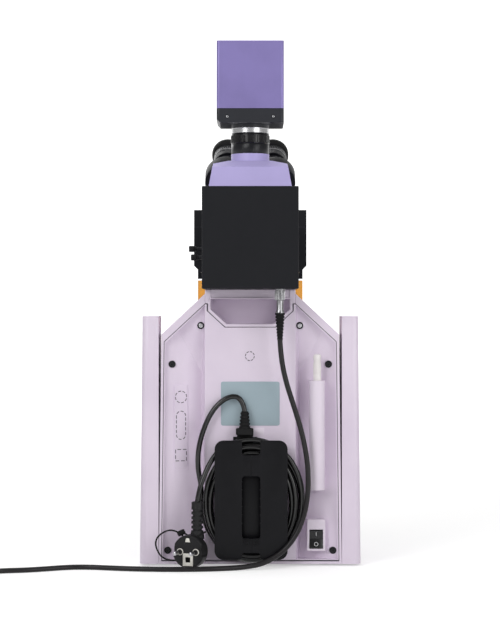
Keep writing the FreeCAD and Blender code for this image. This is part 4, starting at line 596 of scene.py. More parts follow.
class MICROSCOPE_OT_mains_lead(bpy.types.Operator):
    """Mains lead wound on its holder, with the moulded connector, the plug and the tie"""
    bl_idname = "microscope.mains_lead"
    bl_label = "Mains Lead"

    def execute(self, context):
        sizes = context.scene.microscope_sizes
        cord = lead("mains_cord", [at(*p) for p in mains_cord_places()], sizes.lead_diameter, "glossy cord")
        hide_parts("mains_lead", "mains_winding")
        connector = self.connector()
        plug = self.plug()
        tie = self.tie()
        at(6.4, 212.5, 180)
        return {"FINISHED"}

    def connector(self):
        low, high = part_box("mains_connector")
        piece = Piece("mains_socket", "rubber")
        place = placing(at(6.4, 212.5, 0), Z, X)
        piece.add(lathe(ribbed_sleeve(0.1600, 0.1800, 0.0066, 0.0050, 5), 40), place)
        piece.add(slab([(-0.0102, -0.0068), (0.0102, -0.0068), (0.0102, 0.0066), (-0.0102, 0.0066)],
                       0.1532, 0.1604, 0.0012, corners=0.0035), place)
        piece.add(box_between((low[0] + mm(1), mm(205.3) + AXIS_Y, mm(113)),
                              (high[0] - mm(1), mm(208.5) + AXIS_Y, mm(154)), 0.0008))
        piece.add(box_between((low[0], low[1], low[2]), (high[0], mm(206) + AXIS_Y, mm(146)), 0.001))
        return piece.done("stand", "rubber_black", ["mains_connector"])

    def plug(self):
        piece = Piece("mains_plug_body", "plug rubber", "pale contact", "steel", "shadow")
        place = placing(at(65, 224, 21), (math.sin(math.radians(18)), math.cos(math.radians(18)), 0), -X)
        rim = 0.0192
        disc = lathe([(0, 0), (rim - 0.0040, 0), (rim - 0.0012, 0.0022), (rim, 0.0060), (rim, 0.0155),
                      (rim - 0.0006, 0.0190), (rim - 0.0018, 0.0200), (rim - 0.0030, 0.0196), (0, 0.0196)],
                     64)
        for vert in disc.verts:
            for side in (-1, 1):
                if vert.co.z > 0.005 and side * vert.co.x > 0.0164 and vert.co.y > -0.004:
                    vert.co.x = side * 0.0164
        piece.add(disc, place)
        for side in (-1, 1):
            base = place @ Matrix.Translation((side * 0.0095, 0, 0.0194))
            piece.add(lathe([(0.0039, 0), (0.0039, 0.0011), (0.0036, 0.0014), (0.0031, 0.0014),
                             (0.0029, 0.0008), (0.0029, 0)], 32), base, 1)
            piece.add(lathe([(0.00225, 0), (0.00225, 0.0100), (0.0021, 0.0102), (0, 0.0102)], 24), base, 0)
            piece.add(lathe([(0.0024, 0.0101), (0.0024, 0.0172), (0.0018, 0.0187), (0.0008, 0.0192),
                             (0, 0.0193)], 24), base, 2)
        frame_low, frame_high = (-0.0058, -0.0158), (0.0062, -0.0016)
        middle_low, middle_high = (-0.0028, -0.0118), (0.0032, -0.0058)
        for low, high in (((frame_low[0], frame_low[1]), (middle_low[0], frame_high[1])),
                          ((middle_high[0], frame_low[1]), (frame_high[0], frame_high[1])),
                          ((middle_low[0], frame_low[1]), (middle_high[0], middle_low[1])),
                          ((middle_low[0], middle_high[1]), (middle_high[0], frame_high[1]))):
            piece.add(box_between((*low, 0.0190), (*high, 0.0212), 0.0003), place, 1)
        piece.add(box_between((*middle_low, 0.0190), (*middle_high, 0.0198)), place, 3)
        piece.add(slab([(-0.0033, 0.0112), (0.0027, 0.0112), (0.0013, 0.0158), (-0.0019, 0.0158)],
                       0.0190, 0.0206, 0.0004), place, 1)
        neck = placing(at(60.8, 228, 0), Z, X)
        profile = [(0, 0.0330), (0.0082, 0.0345), (0.0074, 0.0425), (0.0070, 0.0440)]
        for rib in range(5):
            start = 0.0440 + rib * 0.0054
            profile += [(0.0053, start + 0.0003), (0.0053, start + 0.0022), (0.0069, start + 0.0026),
                        (0.0069, start + 0.0052)]
        profile += [(0.0067, 0.0712), (0.0067, 0.0762), (0.0060, 0.0770), (0.0033, 0.0770), (0, 0.0768)]
        piece.add(lathe(profile, 48), neck)
        piece.add(box_between((-0.0021, -0.0066, 0.0440), (0.0021, 0.0066, 0.0712), 0.0008), neck)
        return piece.done("stand", "rubber_black", ["mains_plug"])

    def tie(self):
        """A thin tie, looped round the plug's neck with a small buckle."""
        piece = Piece("cord_tie", "rubber")
        ring = []
        for step in range(48):
            angle = 2 * math.pi * step / 48
            reach = 17.7 + 0.8 * math.sin(2 * angle + 0.6) + 0.3 * math.sin(5 * angle)
            ring.append(at(90.7 + reach * math.cos(angle), 218.6 + 0.9 * math.sin(angle * 2),
                           25.6 + reach * math.sin(angle)))
        piece.add(sweep(ring, 0.0010, 10, closed=True))
        piece.add(box_between((-0.0046, -0.0028, -0.0030), (0.0046, 0.0028, 0.0030), 0.0012),
                  Matrix.Translation(at(79.5, 220.5, 40.5)) @ Matrix.Rotation(math.radians(24), 4, "Y"))
        strap = [at(78, 221, 41), at(71, 226, 38), at(66, 233.5, 36.2), at(60, 236.5, 38), at(54, 235, 41.5),
                 at(51.5, 229, 42.5)]
        piece.add(sweep(strap, 0.0010, 10))
        return piece.done("stand", "rubber_black")


# Small parts that several pieces share

def knob_profile(radius, width):
    """Turned knob with broken edges and a dished face; both in metres."""
    return [(0, 0), (radius - 0.001, 0), (radius, 0.001), (radius, 0.0018), (radius, width - 0.0024),
            (radius, width - 0.0018), (radius - 0.0004, width - 0.0010), (radius - 0.0012, width - 0.0003),
            (radius - 0.0020, width), (radius * 0.72, width), (radius * 0.66, width - 0.0004),
            (radius * 0.60, width - 0.0010), (0, width - 0.0010)]


def ribbed_knob(radius, width, count=40, depth=0.0005):
    return lathe(knob_profile(radius, width), ribs=(count, depth, 0.0018, width - 0.0024))


def socket_head(radius, height, across, depth):
    """Screw head with a six-sided socket."""
    form = lathe([(radius, 0), (radius, height - 0.0004), (radius - 0.0001, height - 0.00015),
                  (radius - 0.0004, height), (across, height), (across, height - depth),
                  (0, height - depth - 0.0003)], 48)
    for vert in form.verts:
        reach = math.hypot(vert.co.x, vert.co.y)
        if abs(reach - across) < 1e-7:
            turn = math.atan2(vert.co.y, vert.co.x) % (math.pi / 3) - math.pi / 6
            factor = math.cos(math.pi / 6) / math.cos(turn)
            vert.co.x *= factor
            vert.co.y *= factor
    return form


def dashes(outline, count, share, width, height):
    """Short raised bars along a closed outline in XY."""
    sink = 0.0002
    corners = [Vector((*c, 0)) for c in outline] + [Vector((*outline[0], 0))]
    form = bmesh.new()
    for dash in range(count):
        ends = [section_walk(corners, (dash + offset) / count) for offset in (0, share / 2, share)]
        for a, b in zip(ends, ends[1:]):
            along = (b - a).normalized()
            side = Vector((-along.y, along.x, 0)) * width / 2
            bar = [form.verts.new((*(p + s * side).to_2d(), z)) for z in (-sink, height)
                   for p, s in ((a, -1), (b, -1), (b, 1), (a, 1))]
            form.faces.new(bar[4:])
            for k in range(4):
                form.faces.new((bar[k], bar[(k + 1) % 4], bar[(k + 1) % 4 + 4], bar[k + 4]))
    bmesh.ops.recalc_face_normals(form, faces=form.faces)
    return form


def pill(half_wide, half_high, centre=(0, 0)):
    """Outline of an upright slot with round ends."""
    rise = half_high - half_wide
    return [(x, z + (rise if z >= centre[1] else -rise)) for x, z in circle(half_wide, 48, centre)]


def square(half_wide, half_high, centre=(0, 0)):
    return [(centre[0] - half_wide, centre[1] - half_high), (centre[0] + half_wide, centre[1] - half_high),
            (centre[0] + half_wide, centre[1] + half_high), (centre[0] - half_wide, centre[1] + half_high)]


# Stand

class MICROSCOPE_OT_castings(bpy.types.Operator):
    """Painted castings of the stand: base, arm, rear housing and side covers, on rubber feet"""
    bl_idname = "microscope.castings"
    bl_label = "Castings"

    def execute(self, context):
        sizes = context.scene.microscope_sizes
        for node in ("base_casting", "arm_casting"):
            dress(node, "enamel", sizes.casting_edge, segments=3)
        dress("rear_housing", "enamel", sizes.sheet_edge)
        dress("side_wings", "enamel", sizes.casting_edge)
        dress("power_supply", "steel", sizes.small_edge)
        dress("transmitted_lamp", "pale contact", sizes.small_edge)
        self.feet()
        return {"FINISHED"}

    def feet(self):
        low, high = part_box("rubber_feet")
        radius = mm(12)
        piece = Piece("feet", "rubber")
        tall = high[2] - low[2]
        for side in (-1, 1):
            for x, y in ((74, -84), (86, 178)):
                spot = at(side * x, y, 0)
                piece.add(lathe([(radius - 0.0022, 0), (radius - 0.0012, 0.0003), (radius - 0.0006, 0.0012),
                                 (radius, tall - 0.0012), (radius, tall), (0, tall)], 64),
                          Matrix.Translation((spot.x, spot.y, low[2])))
        piece.done("stand", "rubber_black", ["rubber_feet"])


# Bays of the rear cover in millimetres: their depth beside the middle panel and at the rim, half the
# width of the panel and of the rim, the shoulder's height, and how far below it a bay starts to come up
BAY_DEPTH, RIM_DEPTH, PANEL_HALF, RIM_HALF = 20, 4, 52.5, 101.6
SHOULDER_Z, SHOULDER_RISE = 304.5, 88.5
BAY_TURN = math.atan2(BAY_DEPTH - RIM_DEPTH, RIM_HALF - PANEL_HALF)


class MICROSCOPE_OT_rear_cover(bpy.types.Operator):
    """Rear cover with its screws, raised marks and bare label"""
    bl_idname = "microscope.rear_cover"
    bl_label = "Rear Cover"

    def execute(self, context):
        dress("rear_cover", "enamel", context.scene.microscope_sizes.sheet_edge, segments=3)
        self.seam()
        self.screws()
        self.label()
        self.marks()
        return {"FINISHED"}

    def seam(self):
        """Dark strip that lies in the gap round the cover: painted shade of the gap."""
        right = [(102.95, 6.85), (99.85, 260.3), (52.5, 304.1), (50.05, 304.1), (50.05, 296.1),
                 (29.5, 277.15)]
        outline = [(mm(px), mm(pz)) for px, pz in right] + [(-mm(px), mm(pz)) for px, pz in reversed(right)]
        piece = Piece("cover_seam_shade", "dark mark and seam shade")
        face = placing(at(0, COVER_FACE, 0), Y, -X)
        for (x0, z0), (x1, z1) in zip(outline, outline[1:] + outline[:1]):
            along = Vector((x1 - x0, z1 - z0, 0))
            turn = Matrix.Rotation(math.atan2(along.y, along.x), 4, "Z")
            bar = box_between((0, -0.00045, -0.0012), (along.length, 0.00045, 0.00005))
            piece.add(bar, face @ Matrix.Translation((x0, z0, 0)) @ turn)
        piece.done("stand", "black_plastic")

    def screws(self):
        piece = Piece("cover_screw_heads", "black anodised", "steel", "shadow")
        for x, z, tone in ((57.5, 279, 1), (91, 234, 0), (96, 17.6, 0)):
            for side in (-1, 1):
                face = max(self.slope(x), self.rising(z))
                place = placing(at(side * x, face - 2, z), Y)
                reach = 0.0026 if tone else 0.00385
                piece.add(socket_head(reach, 0.0030, reach * 0.52, 0.0019), place, tone)
                # A black collar round each head; round the grey top screws it is painted shade of their
                # recess.
                piece.add(lathe([(reach, 0), (0.0039, 0), (0.0039, 0.0026), (0.0036, 0.0029), (reach, 0.0024),
                                 (reach, 0)], 48), place)
                piece.add(lathe([(0, 0), (0.0041, 0), (0.0041, 0.0003), (0, 0.0003)], 32), place, 2)
        piece.done("stand", "black_anodised", ["cover_screws"])

    def slope(self, x):
        """Where a side bay's floor lies across the cover, in millimetres."""
        return COVER_FACE - BAY_DEPTH + (abs(x) - PANEL_HALF) * math.tan(BAY_TURN)

    def rising(self, z):
        """Where a bay's floor lies as it comes up under the shoulder."""
        return COVER_FACE - RIM_DEPTH - (SHOULDER_Z - z) * (BAY_DEPTH - RIM_DEPTH) / SHOULDER_RISE

    def label(self):
        piece = Piece("rear_label", "label foil", "pale plastic")
        face = placing(at(0, COVER_FACE, 0), Y, -X)
        plate = slab(square(0.034, 0.0255, (0, 0.1885)), 0, 0.0006, 0.0002, corners=0.0025)
        piece.add(plate, face)
        rim = slab(square(0.0322, 0.0237, (0, 0.1885)), 0.0004, 0.00068, 0.0001, corners=0.0018)
        piece.add(rim, face)
        sticker = slab(square(0.0157, 0.0036, (0.0004, 0.1565)), 0, 0.00025, 0.0001, corners=0.0008)
        piece.add(sticker, face, 1)
        piece.done("stand", "label_foil", ["rating_label"])

    def marks(self):
        piece = Piece("cover_marks", "dark mark and seam shade")
        face = placing(at(0, COVER_FACE, 0), Y, -X)
        piece.add(dashes([(-x, z) for x, z in circle(0.0052, 48, (0.0005, 0.2436))], 8, 0.7, 0.0009, 0.0002),
                  face)
        across = Vector((math.cos(BAY_TURN), math.sin(BAY_TURN), 0))
        origin = at(80.75, self.slope(80.75) + 1, 0)
        strip = placing(origin, (-math.sin(BAY_TURN), math.cos(BAY_TURN), 0), -across)
        for outline, count in ((circle(0.0068, 48, (0, 0.1958)), 8),
                               (pill(0.0056, 0.0165, (0, 0.1628)), 14),
                               (square(0.0066, 0.0066, (0, 0.1280)), 8)):
            piece.add(dashes(outline, count, 0.66, 0.0009, 0.0005), strip)
        piece.done("stand", "enamel_shade")
        band = Piece("mark_strip", "enamel")
        band.add(slab(square(0.0080, 0.0480, (0, 0.1619)), -0.0008, 0.0003, 0.0002, corners=0.0035), strip)
        band.done("stand", "enamel_pale")


class MICROSCOPE_OT_tool_holder(bpy.types.Operator):
    """Holder on the rear cover and the driver that stands in it"""
    bl_idname = "microscope.tool_holder"
    bl_label = "Tool Holder"

    def execute(self, context):
        dress("tool_holder", "pale plastic", context.scene.microscope_sizes.small_edge)
        low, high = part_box("hex_driver")
        centre = middle("hex_driver")
        place = Matrix.Translation((centre.x, centre.y, low[2]))
        reach = high[2] - low[2]
        grip = 0.0567
        piece = Piece("driver", "milky plastic", "steel")
        profile = [(0, grip - 0.001), (0.0030, grip - 0.001), (0.0042, grip), (0.0046, grip + 0.0016),
                   (0.0046, reach - 0.0110), (0.0042, reach - 0.0095), (0.0042, reach - 0.0070),
                   (0.0046, reach - 0.0055), (0.0046, reach - 0.0022), (0.0041, reach - 0.0008),
                   (0.0030, reach - 0.0001), (0, reach)]
        piece.add(lathe(profile, ribs=(12, 0.00055, grip + 0.0016, reach - 0.0110)), place)
        piece.add(lathe([(0, 0), (0.0012, 0), (0.0015, 0.0004), (0.0015, grip), (0, grip)], 6), place, 1)
        piece.done("driver", "milky_plastic", ["hex_driver"])
        return {"FINISHED"}


class MICROSCOPE_OT_power_switch(bpy.types.Operator):
    """Rocker switch with its line and ring marks, in its raised frame"""
    bl_idname = "microscope.power_switch"
    bl_label = "Power Switch"

    def execute(self, context):
        dress("switch_frame", "pale plastic", context.scene.microscope_sizes.small_edge)
        oval = Piece("switch_emboss", "pale plastic")
        face = placing(at(-76.5, 204.4, 0), Y, -X)
        ring = [(x * 0.0048, z * 0.0030) for x, z in circle(1.0, 40)]
        oval.add(dashes(ring, 40, 1.0, 0.0005, 0.0003), face @ Matrix.Translation((0, 0.0489, 0)))
        oval.done("stand", "pale_plastic")

        low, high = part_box("switch_rocker")
        piece = Piece("rocker", "gloss black", "pale mark")
        lean = math.radians(7)
        pivot = at(-76.5, 203.8, 31.2)
        place = placing(pivot, Y, -X) @ Matrix.Rotation(-lean, 4, "X")
        half = (high[0] - low[0]) / 2
        tall = 0.0105 * math.cos(lean)
        rise = 0.0105 * math.sin(lean)
        section = [(-tall * 0.7, -0.0084), (-tall, rise - 0.0008), (-tall + 0.0008, rise),
                   (-0.0012, 0.00015), (0, 0), (0.0012, 0.00015), (tall - 0.0008, rise),
                   (tall, rise - 0.0008), (tall * 0.7, -0.0084)]
        body = slab(section, -half, half, 0.0006)
        turn = Matrix(((0, 0, 1, 0), (1, 0, 0, 0), (0, 1, 0, 0), (0, 0, 0, 1)))
        piece.add(body, place @ turn)
        for side, outline in ((1, None), (-1, circle(0.0021, 32))):
            face = place @ Matrix.Translation((0, side * tall * 0.56, rise * 0.56)) \
                @ Matrix.Rotation(side * lean, 4, "X")
            if outline:
                piece.add(dashes(outline, 32, 1.0, 0.0006, 0.00012), face, 1)
            else:
                piece.add(box_between((-0.0003, -0.0022, -0.0002), (0.0003, 0.0022, 0.00012)), face, 1)
        piece.done("power_switch", "black_plastic", ["switch_rocker"])
        return {"FINISHED"}


class MICROSCOPE_OT_cord_winder(bpy.types.Operator):
    """Mains inlet and the holder that the mains lead is wound on"""
    bl_idname = "microscope.cord_winder"
    bl_label = "Cord Winder"

    def execute(self, context):
        dress("power_inlet", "black plastic", context.scene.microscope_sizes.small_edge)
        low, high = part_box("cord_winder")
        piece = Piece("winder", "satin black")
        x, half, notch = -0.001, 0.042, 0.0105
        bottom, top = low[2], high[2]
        self.plate(piece, x, half, notch, bottom, top)
        core = Matrix.Translation((0, mm(COVER_FACE) + AXIS_Y, 0))
        piece.add(box_between((x - 0.0112, 0.0002, 0.0300), (x + 0.0112, 0.0120, 0.1140), 0.0006), core)
        for side in (-1, 1):
            inner, outer = sorted((x + side * 0.0108, x + side * 0.0358))
            piece.add(box_between((inner, 0.0002, 0.0462), (outer, 0.0182, 0.1118), 0.0008), core)
            for rib in range(7):
                z = 0.0508 + rib * 0.0096
                edge = x + side * 0.0109
                piece.add(box_between((edge - 0.0007, 0.004, z - 0.0009),
                                      (edge + 0.0007, 0.0215, z + 0.0009), 0.0003), core)
        for side in (-1, 1):
            column = x + side * 0.0055
            for rib in range(5):
                z = 0.0268 + rib * 0.0017
                piece.add(box_between((column - 0.0028, 0.0180, z), (column + 0.0028, 0.0226, z + 0.0009),
                                      0.0002), core)
        piece.done("stand", "black_plastic", ["cord_winder"])
        return {"FINISHED"}

    def plate(self, piece, x, half, notch, bottom, top):
        """The H-shaped plate, as one outline with a slot in it."""
        def corner(cx, cz, radius, first, turn=90, steps=6):
            angles = [math.radians(first + turn * k / steps) for k in range(steps + 1)]
            return [(cx + radius * math.cos(angle), cz + radius * math.sin(angle)) for angle in angles]

        slot_low, slot_high, big, small = 0.034, 0.106, 0.010, 0.0035
        right = ([(x, bottom + 0.0077), (x + notch - 0.0015, bottom + 0.0077), (x + notch, bottom + 0.0062)]
                 + corner(x + notch + small, bottom + small, small, 180)
                 + corner(x + half - big, bottom + big, big, 270)
                 + corner(x + half - big, top - big, big, 0)
                 + corner(x + notch + small, top - small, small, 90)
                 + [(x + notch, top - 0.0140)] + corner(x + notch - 0.003, top - 0.0140, 0.003, 0, -90)
                 + [(x, top - 0.017)])
        slot = ([(x, slot_high)]
                + corner(x + notch - small, slot_high - small, small, 90, -90)
                + corner(x + notch - small, slot_low + small, small, 0, -90) + [(x, slot_low)])
        outline = right + slot
        back, face = mm(COVER_FACE + 18) + AXIS_Y, mm(COVER_FACE + 22) + AXIS_Y
        for mirror in (1, -1):
            shape = [((x - px) * mirror - x, pz) for px, pz in outline]
            form = slab(shape, 0, face - back, 0.0007, 3)
            piece.add(form, placing((0, back, 0), Y, -X))


# Moving parts of the stand

def knob_piece(name, node, body, slot, tone, places, extra=(), count=40, depth=0.0005):
    """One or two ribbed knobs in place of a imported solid; places are (origin, outward, radius, width)."""
    piece = Piece(name, tone, "steel", "pale mark")
    for origin, outward, radius, width in places:
        place = placing(origin, outward)
        piece.add(ribbed_knob(radius, width, count, depth), place)
        piece.add(lathe([(0, width - 0.0012), (radius * 0.30, width - 0.0012),
                         (radius * 0.34, width - 0.0009), (radius * 0.34, width - 0.0006),
                         (0, width - 0.0006)], 40), place, 0)
    for form, place, part_tone in extra:
        piece.add(form, place, part_tone)
    return piece.done(body, slot, [node])


class MICROSCOPE_OT_light_exit(bpy.types.Operator):
    """Light exit in the base, with its iris ring, lens and dimmer knob"""
    bl_idname = "microscope.light_exit"
    bl_label = "Light Exit"

    def execute(self, context):
        dress("field_lens_mount", "black anodised", context.scene.microscope_sizes.small_edge)
        dress("field_lens", "lens glass")
        low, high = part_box("field_iris_ring")
        piece = Piece("iris_ring", "black anodised", "pale mark")
        place = Matrix.Translation(at(0, 0, low[2] * 1000))
        tall = high[2] - low[2]
        piece.add(lathe([(0.0263, 0), (0.0315, 0), (0.0320, 0.0005), (0.0320, 0.0010),
                         (0.0320, tall - 0.0012), (0.0320, tall - 0.0006), (0.0315, tall), (0.0263, tall),
                         (0.0263, 0)], ribs=(72, 0.0005, 0.0010, tall - 0.0012)), place)
        for mark in range(7):
            turn = Matrix.Rotation(math.radians(-30 + 10 * mark), 4, "Z")
            piece.add(box_between((-0.0002, -0.0312, tall - 0.0001), (0.0002, -0.0290, tall + 0.00005)),
                      place @ turn, 1)
        piece.done("field_iris", "black_anodised", ["field_iris_ring"])
        width = 0.009
        face = at(0, -52, 34)
        start = (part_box("brightness_knob")[0][0] + width, face.y, face.z)
        place = placing(start, -X, Y)
        pointer = (box_between((-0.0004, 0.0040, 0.0088), (0.0004, 0.0092, 0.0092), 0.0001), place, 2)
        shaft = (lathe([(0.004, -0.012), (0.004, 0.001), (0, 0.001)], 32), place, 1)
        knob_piece("dimmer_knob", "brightness_knob", "dimmer", "black_plastic", "black plastic",
                   [(start, -X, 0.012, width)], [pointer, shaft], 36, 0.0005)
        return {"FINISHED"}


class MICROSCOPE_OT_focus_drive(bpy.types.Operator):
    """Coarse and fine focus knobs on both sides of the arm"""
    bl_idname = "microscope.focus_drive"
    bl_label = "Focus Drive"

    def execute(self, context):
        centre = middle("coarse_knobs")
        for name, node, body, slot, tone, radius, width, count, depth, shaft in (
                ("coarse_focus_knobs", "coarse_knobs", "coarse_focus", "enamel_shade", "enamel shade",
                 0.024, 0.022, 60, 0.0006, 0.008),
                ("fine_focus_knobs", "fine_knobs", "fine_focus", "black_plastic", "black plastic",
                 0.017, 0.013, 48, 0.0005, 0.004)):
            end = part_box(node)[1][0]
            start = end - width
            places = [((side * start, centre.y, centre.z), side * X, radius, width) for side in (1, -1)]
            bar = lathe([(0, -start), (shaft, -start), (shaft, start), (0, start)], 32)
            extra = [(bar, placing((0, centre.y, centre.z), X), 1)]
            if body == "fine_focus":
                for side in (1, -1):
                    place = placing((side * end, centre.y, centre.z), side * X)
                    for mark in range(50):
                        turn = Matrix.Rotation(2 * math.pi * mark / 50, 4, "Z")
                        reach = 0.0126 if mark % 5 == 0 else 0.0136
                        extra.append((box_between((-0.00012, reach, -0.0001), (0.00012, 0.0146, 0.00006)),
                                      place @ turn, 2))
            else:
                for side in (1, -1):
                    place = placing((side * end, centre.y, centre.z), side * X)
                    ring = lathe([(0.0150, -0.0008), (0.0158, -0.0006), (0.0158, -0.0001), (0.0150, 0),
                                  (0.0125, 0), (0.0125, -0.0008), (0.0150, -0.0008)], 64)
                    extra.append((ring, place, 0))
            knob_piece(name, node, body, slot, tone, places, extra, count, depth)
        return {"FINISHED"}


class MICROSCOPE_OT_stage(bpy.types.Operator):
    """Mechanical stage, its specimen holder with a sprung finger, and the two drive knobs below"""
    bl_idname = "microscope.stage"
    bl_label = "Stage"

    def execute(self, context):
        sizes = context.scene.microscope_sizes
        dress("stage_carrier", "black paint", sizes.casting_edge)
        dress("stage_top", "black anodised", sizes.casting_edge, segments=3)
        dress("specimen_holder", "steel", 0.0003)
        dress("holder_finger", "steel", 0.0003)
        self.scales()
        for node, body, radius, count in (("stage_y_knob", "stage_y_drive", 0.013, 44),
                                          ("stage_x_knob", "stage_x_drive", 0.011, 38)):
            low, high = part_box(node)
            centre = middle(node)
            width = 0.015 if node == "stage_y_knob" else 0.022
            shaft = lathe([(0, -(high[2] - low[2] - width)), (0.004, -(high[2] - low[2] - width)),
                           (0.004, 0.001), (0, 0.001)], 32)
            top = low[2] + width
            extra = [(shaft, placing((centre.x, centre.y, top), -Z), 1)] if node == "stage_x_knob" else []
            knob_piece(node.replace("_knob", "_drive_knob"), node, body, "black_plastic", "black plastic",
                       [((centre.x, centre.y, top), -Z, radius, width)], extra, count)
        return {"FINISHED"}

    def scales(self):
        """Engraved lines beside one slide, and three screws on the holder's bar."""
        lines = Piece("stage_scale", "pale mark")
        for mark in range(41):
            reach = 0.0030 if mark % 10 == 0 else 0.0022 if mark % 5 == 0 else 0.0015
            start = at(-80, -34 + mark * 1.5, 215)
            lines.add(box_between((0, -0.00008, -0.0001), (reach, 0.00008, 0.00005)),
                      Matrix.Translation(start))
        lines.done("stage", "steel")
        screws = Piece("holder_screws", "black anodised")
        for x in (-38, 0, 36):
            screws.add(socket_head(0.0021, 0.0016, 0.0011, 0.0010), Matrix.Translation(at(x, 40, 221.2)))
        screws.done("holder", "steel")


class MICROSCOPE_OT_condenser(bpy.types.Operator):
    """Condenser on its slide, with the knurled aperture ring and the lifting knob"""
    bl_idname = "microscope.condenser"
    bl_label = "Condenser"

    def execute(self, context):
        sizes = context.scene.microscope_sizes
        dress("condenser_carrier", "black paint", sizes.casting_edge)
        self.body()
        low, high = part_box("condenser_iris_ring")
        tall = high[2] - low[2]
        place = Matrix.Translation(at(0, 0, low[2] * 1000))
        ring = Piece("aperture_ring", "black anodised", "pale mark")
        ring.add(lathe([(0.0283, 0), (0.0308, 0), (0.0313, 0.0005), (0.0313, 0.0010), (0.0313, tall - 0.0010),
                        (0.0313, tall - 0.0005), (0.0308, tall), (0.0283, tall), (0.0283, 0)],
                       ribs=(64, 0.0004, 0.0010, tall - 0.0010)), place)
        ring.add(slab(square(0.0030, 0.0085, (0, -0.0375)), 0.0004, tall - 0.0004, 0.0006, corners=0.0015),
                 place)
        ring.add(lathe([(0, -0.0003), (0.0026, -0.0003), (0.0030, 0.0003), (0.0030, tall - 0.0003),
                        (0.0026, tall + 0.0002), (0, tall + 0.0002)], 32),
                 place @ Matrix.Translation((0, -0.0430, 0)))
        for mark in range(9):
            turn = Matrix.Rotation(math.radians(-90 + 8 * (mark - 4)), 4, "Z")
            ring.add(box_between((0.0295, -0.00012, tall - 0.0001), (0.0305, 0.00012, tall + 0.00005)),
                     place @ turn, 1)
        ring.done("condenser_iris", "black_anodised", ["condenser_iris_ring"])
        low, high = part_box("condenser_knob")
        centre = middle("condenser_knob")
        shaft = lathe([(0, -(high[0] - low[0] - 0.016)), (0.004, -(high[0] - low[0] - 0.016)), (0.004, 0.001),
                       (0, 0.001)], 32)
        start = (low[0] + 0.016, centre.y, centre.z)
        knob_piece("condenser_lift_knob", "condenser_knob", "condenser_lift", "black_plastic",
                   "black plastic", [(start, -X, 0.0065, 0.016)], [(shaft, placing(start, -X), 1)], 26,
                   0.0004)
        return {"FINISHED"}

    def body(self):
        place = Matrix.Translation(at(0, 0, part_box("condenser_body")[0][2] * 1000))
        piece = Piece("condenser_barrel", "black anodised", "lens glass", "pale mark")
        piece.add(lathe([(0, 0.0004), (0.0240, 0.0004), (0.0244, 0), (0.0276, 0), (0.0280, 0.0004),
                         (0.0280, 0.0225), (0.0276, 0.0229), (0.0276, 0.0237), (0.0280, 0.0241),
                         (0.0280, 0.0276), (0.0276, 0.0281), (0.0184, 0.0416), (0.0180, 0.0420),
                         (0.0104, 0.0420), (0.0101, 0.0424), (0.0101, 0.0465), (0.0097, 0.0470),
                         (0.0078, 0.0470), (0.0078, 0.0464), (0, 0.0464)], 96), place)
        piece.add(lathe([(0, 0.0462), (0.0077, 0.0462), (0.0076, 0.0465), (0.0040, 0.04685), (0, 0.0470)],
                        64), place, 1)
        piece.done("condenser", "black_anodised", ["condenser_body"])


# Optics

# Nosepiece: its tilt, and in millimetres the objectives' distance from its axis, the specimen's height
# and the parfocal distance
NOSE_TILT, NOSE_REACH, SPECIMEN_Z, PARFOCAL = math.radians(16), 28, 217, 45
NOSE = Matrix.Translation(at(0, 0, SPECIMEN_Z + PARFOCAL + NOSE_REACH / math.sin(NOSE_TILT))) \
    @ Matrix.Rotation(NOSE_TILT, 4, "X")
NOSE_DROP = mm(NOSE_REACH / math.tan(NOSE_TILT))
# Each objective's gap to the specimen in millimetres, and its colour band
OBJECTIVES = ((10.5, "red band"), (17, "yellow band"), (2.1, "green band"), (0.7, "blue band"),
              (0.4, "white band"))
# Where both eye tubes hinge, tilted towards the user
EYES = Matrix.Translation(at(0, -64.944, 439.514)) @ Matrix.Rotation(math.radians(60), 4, "X")


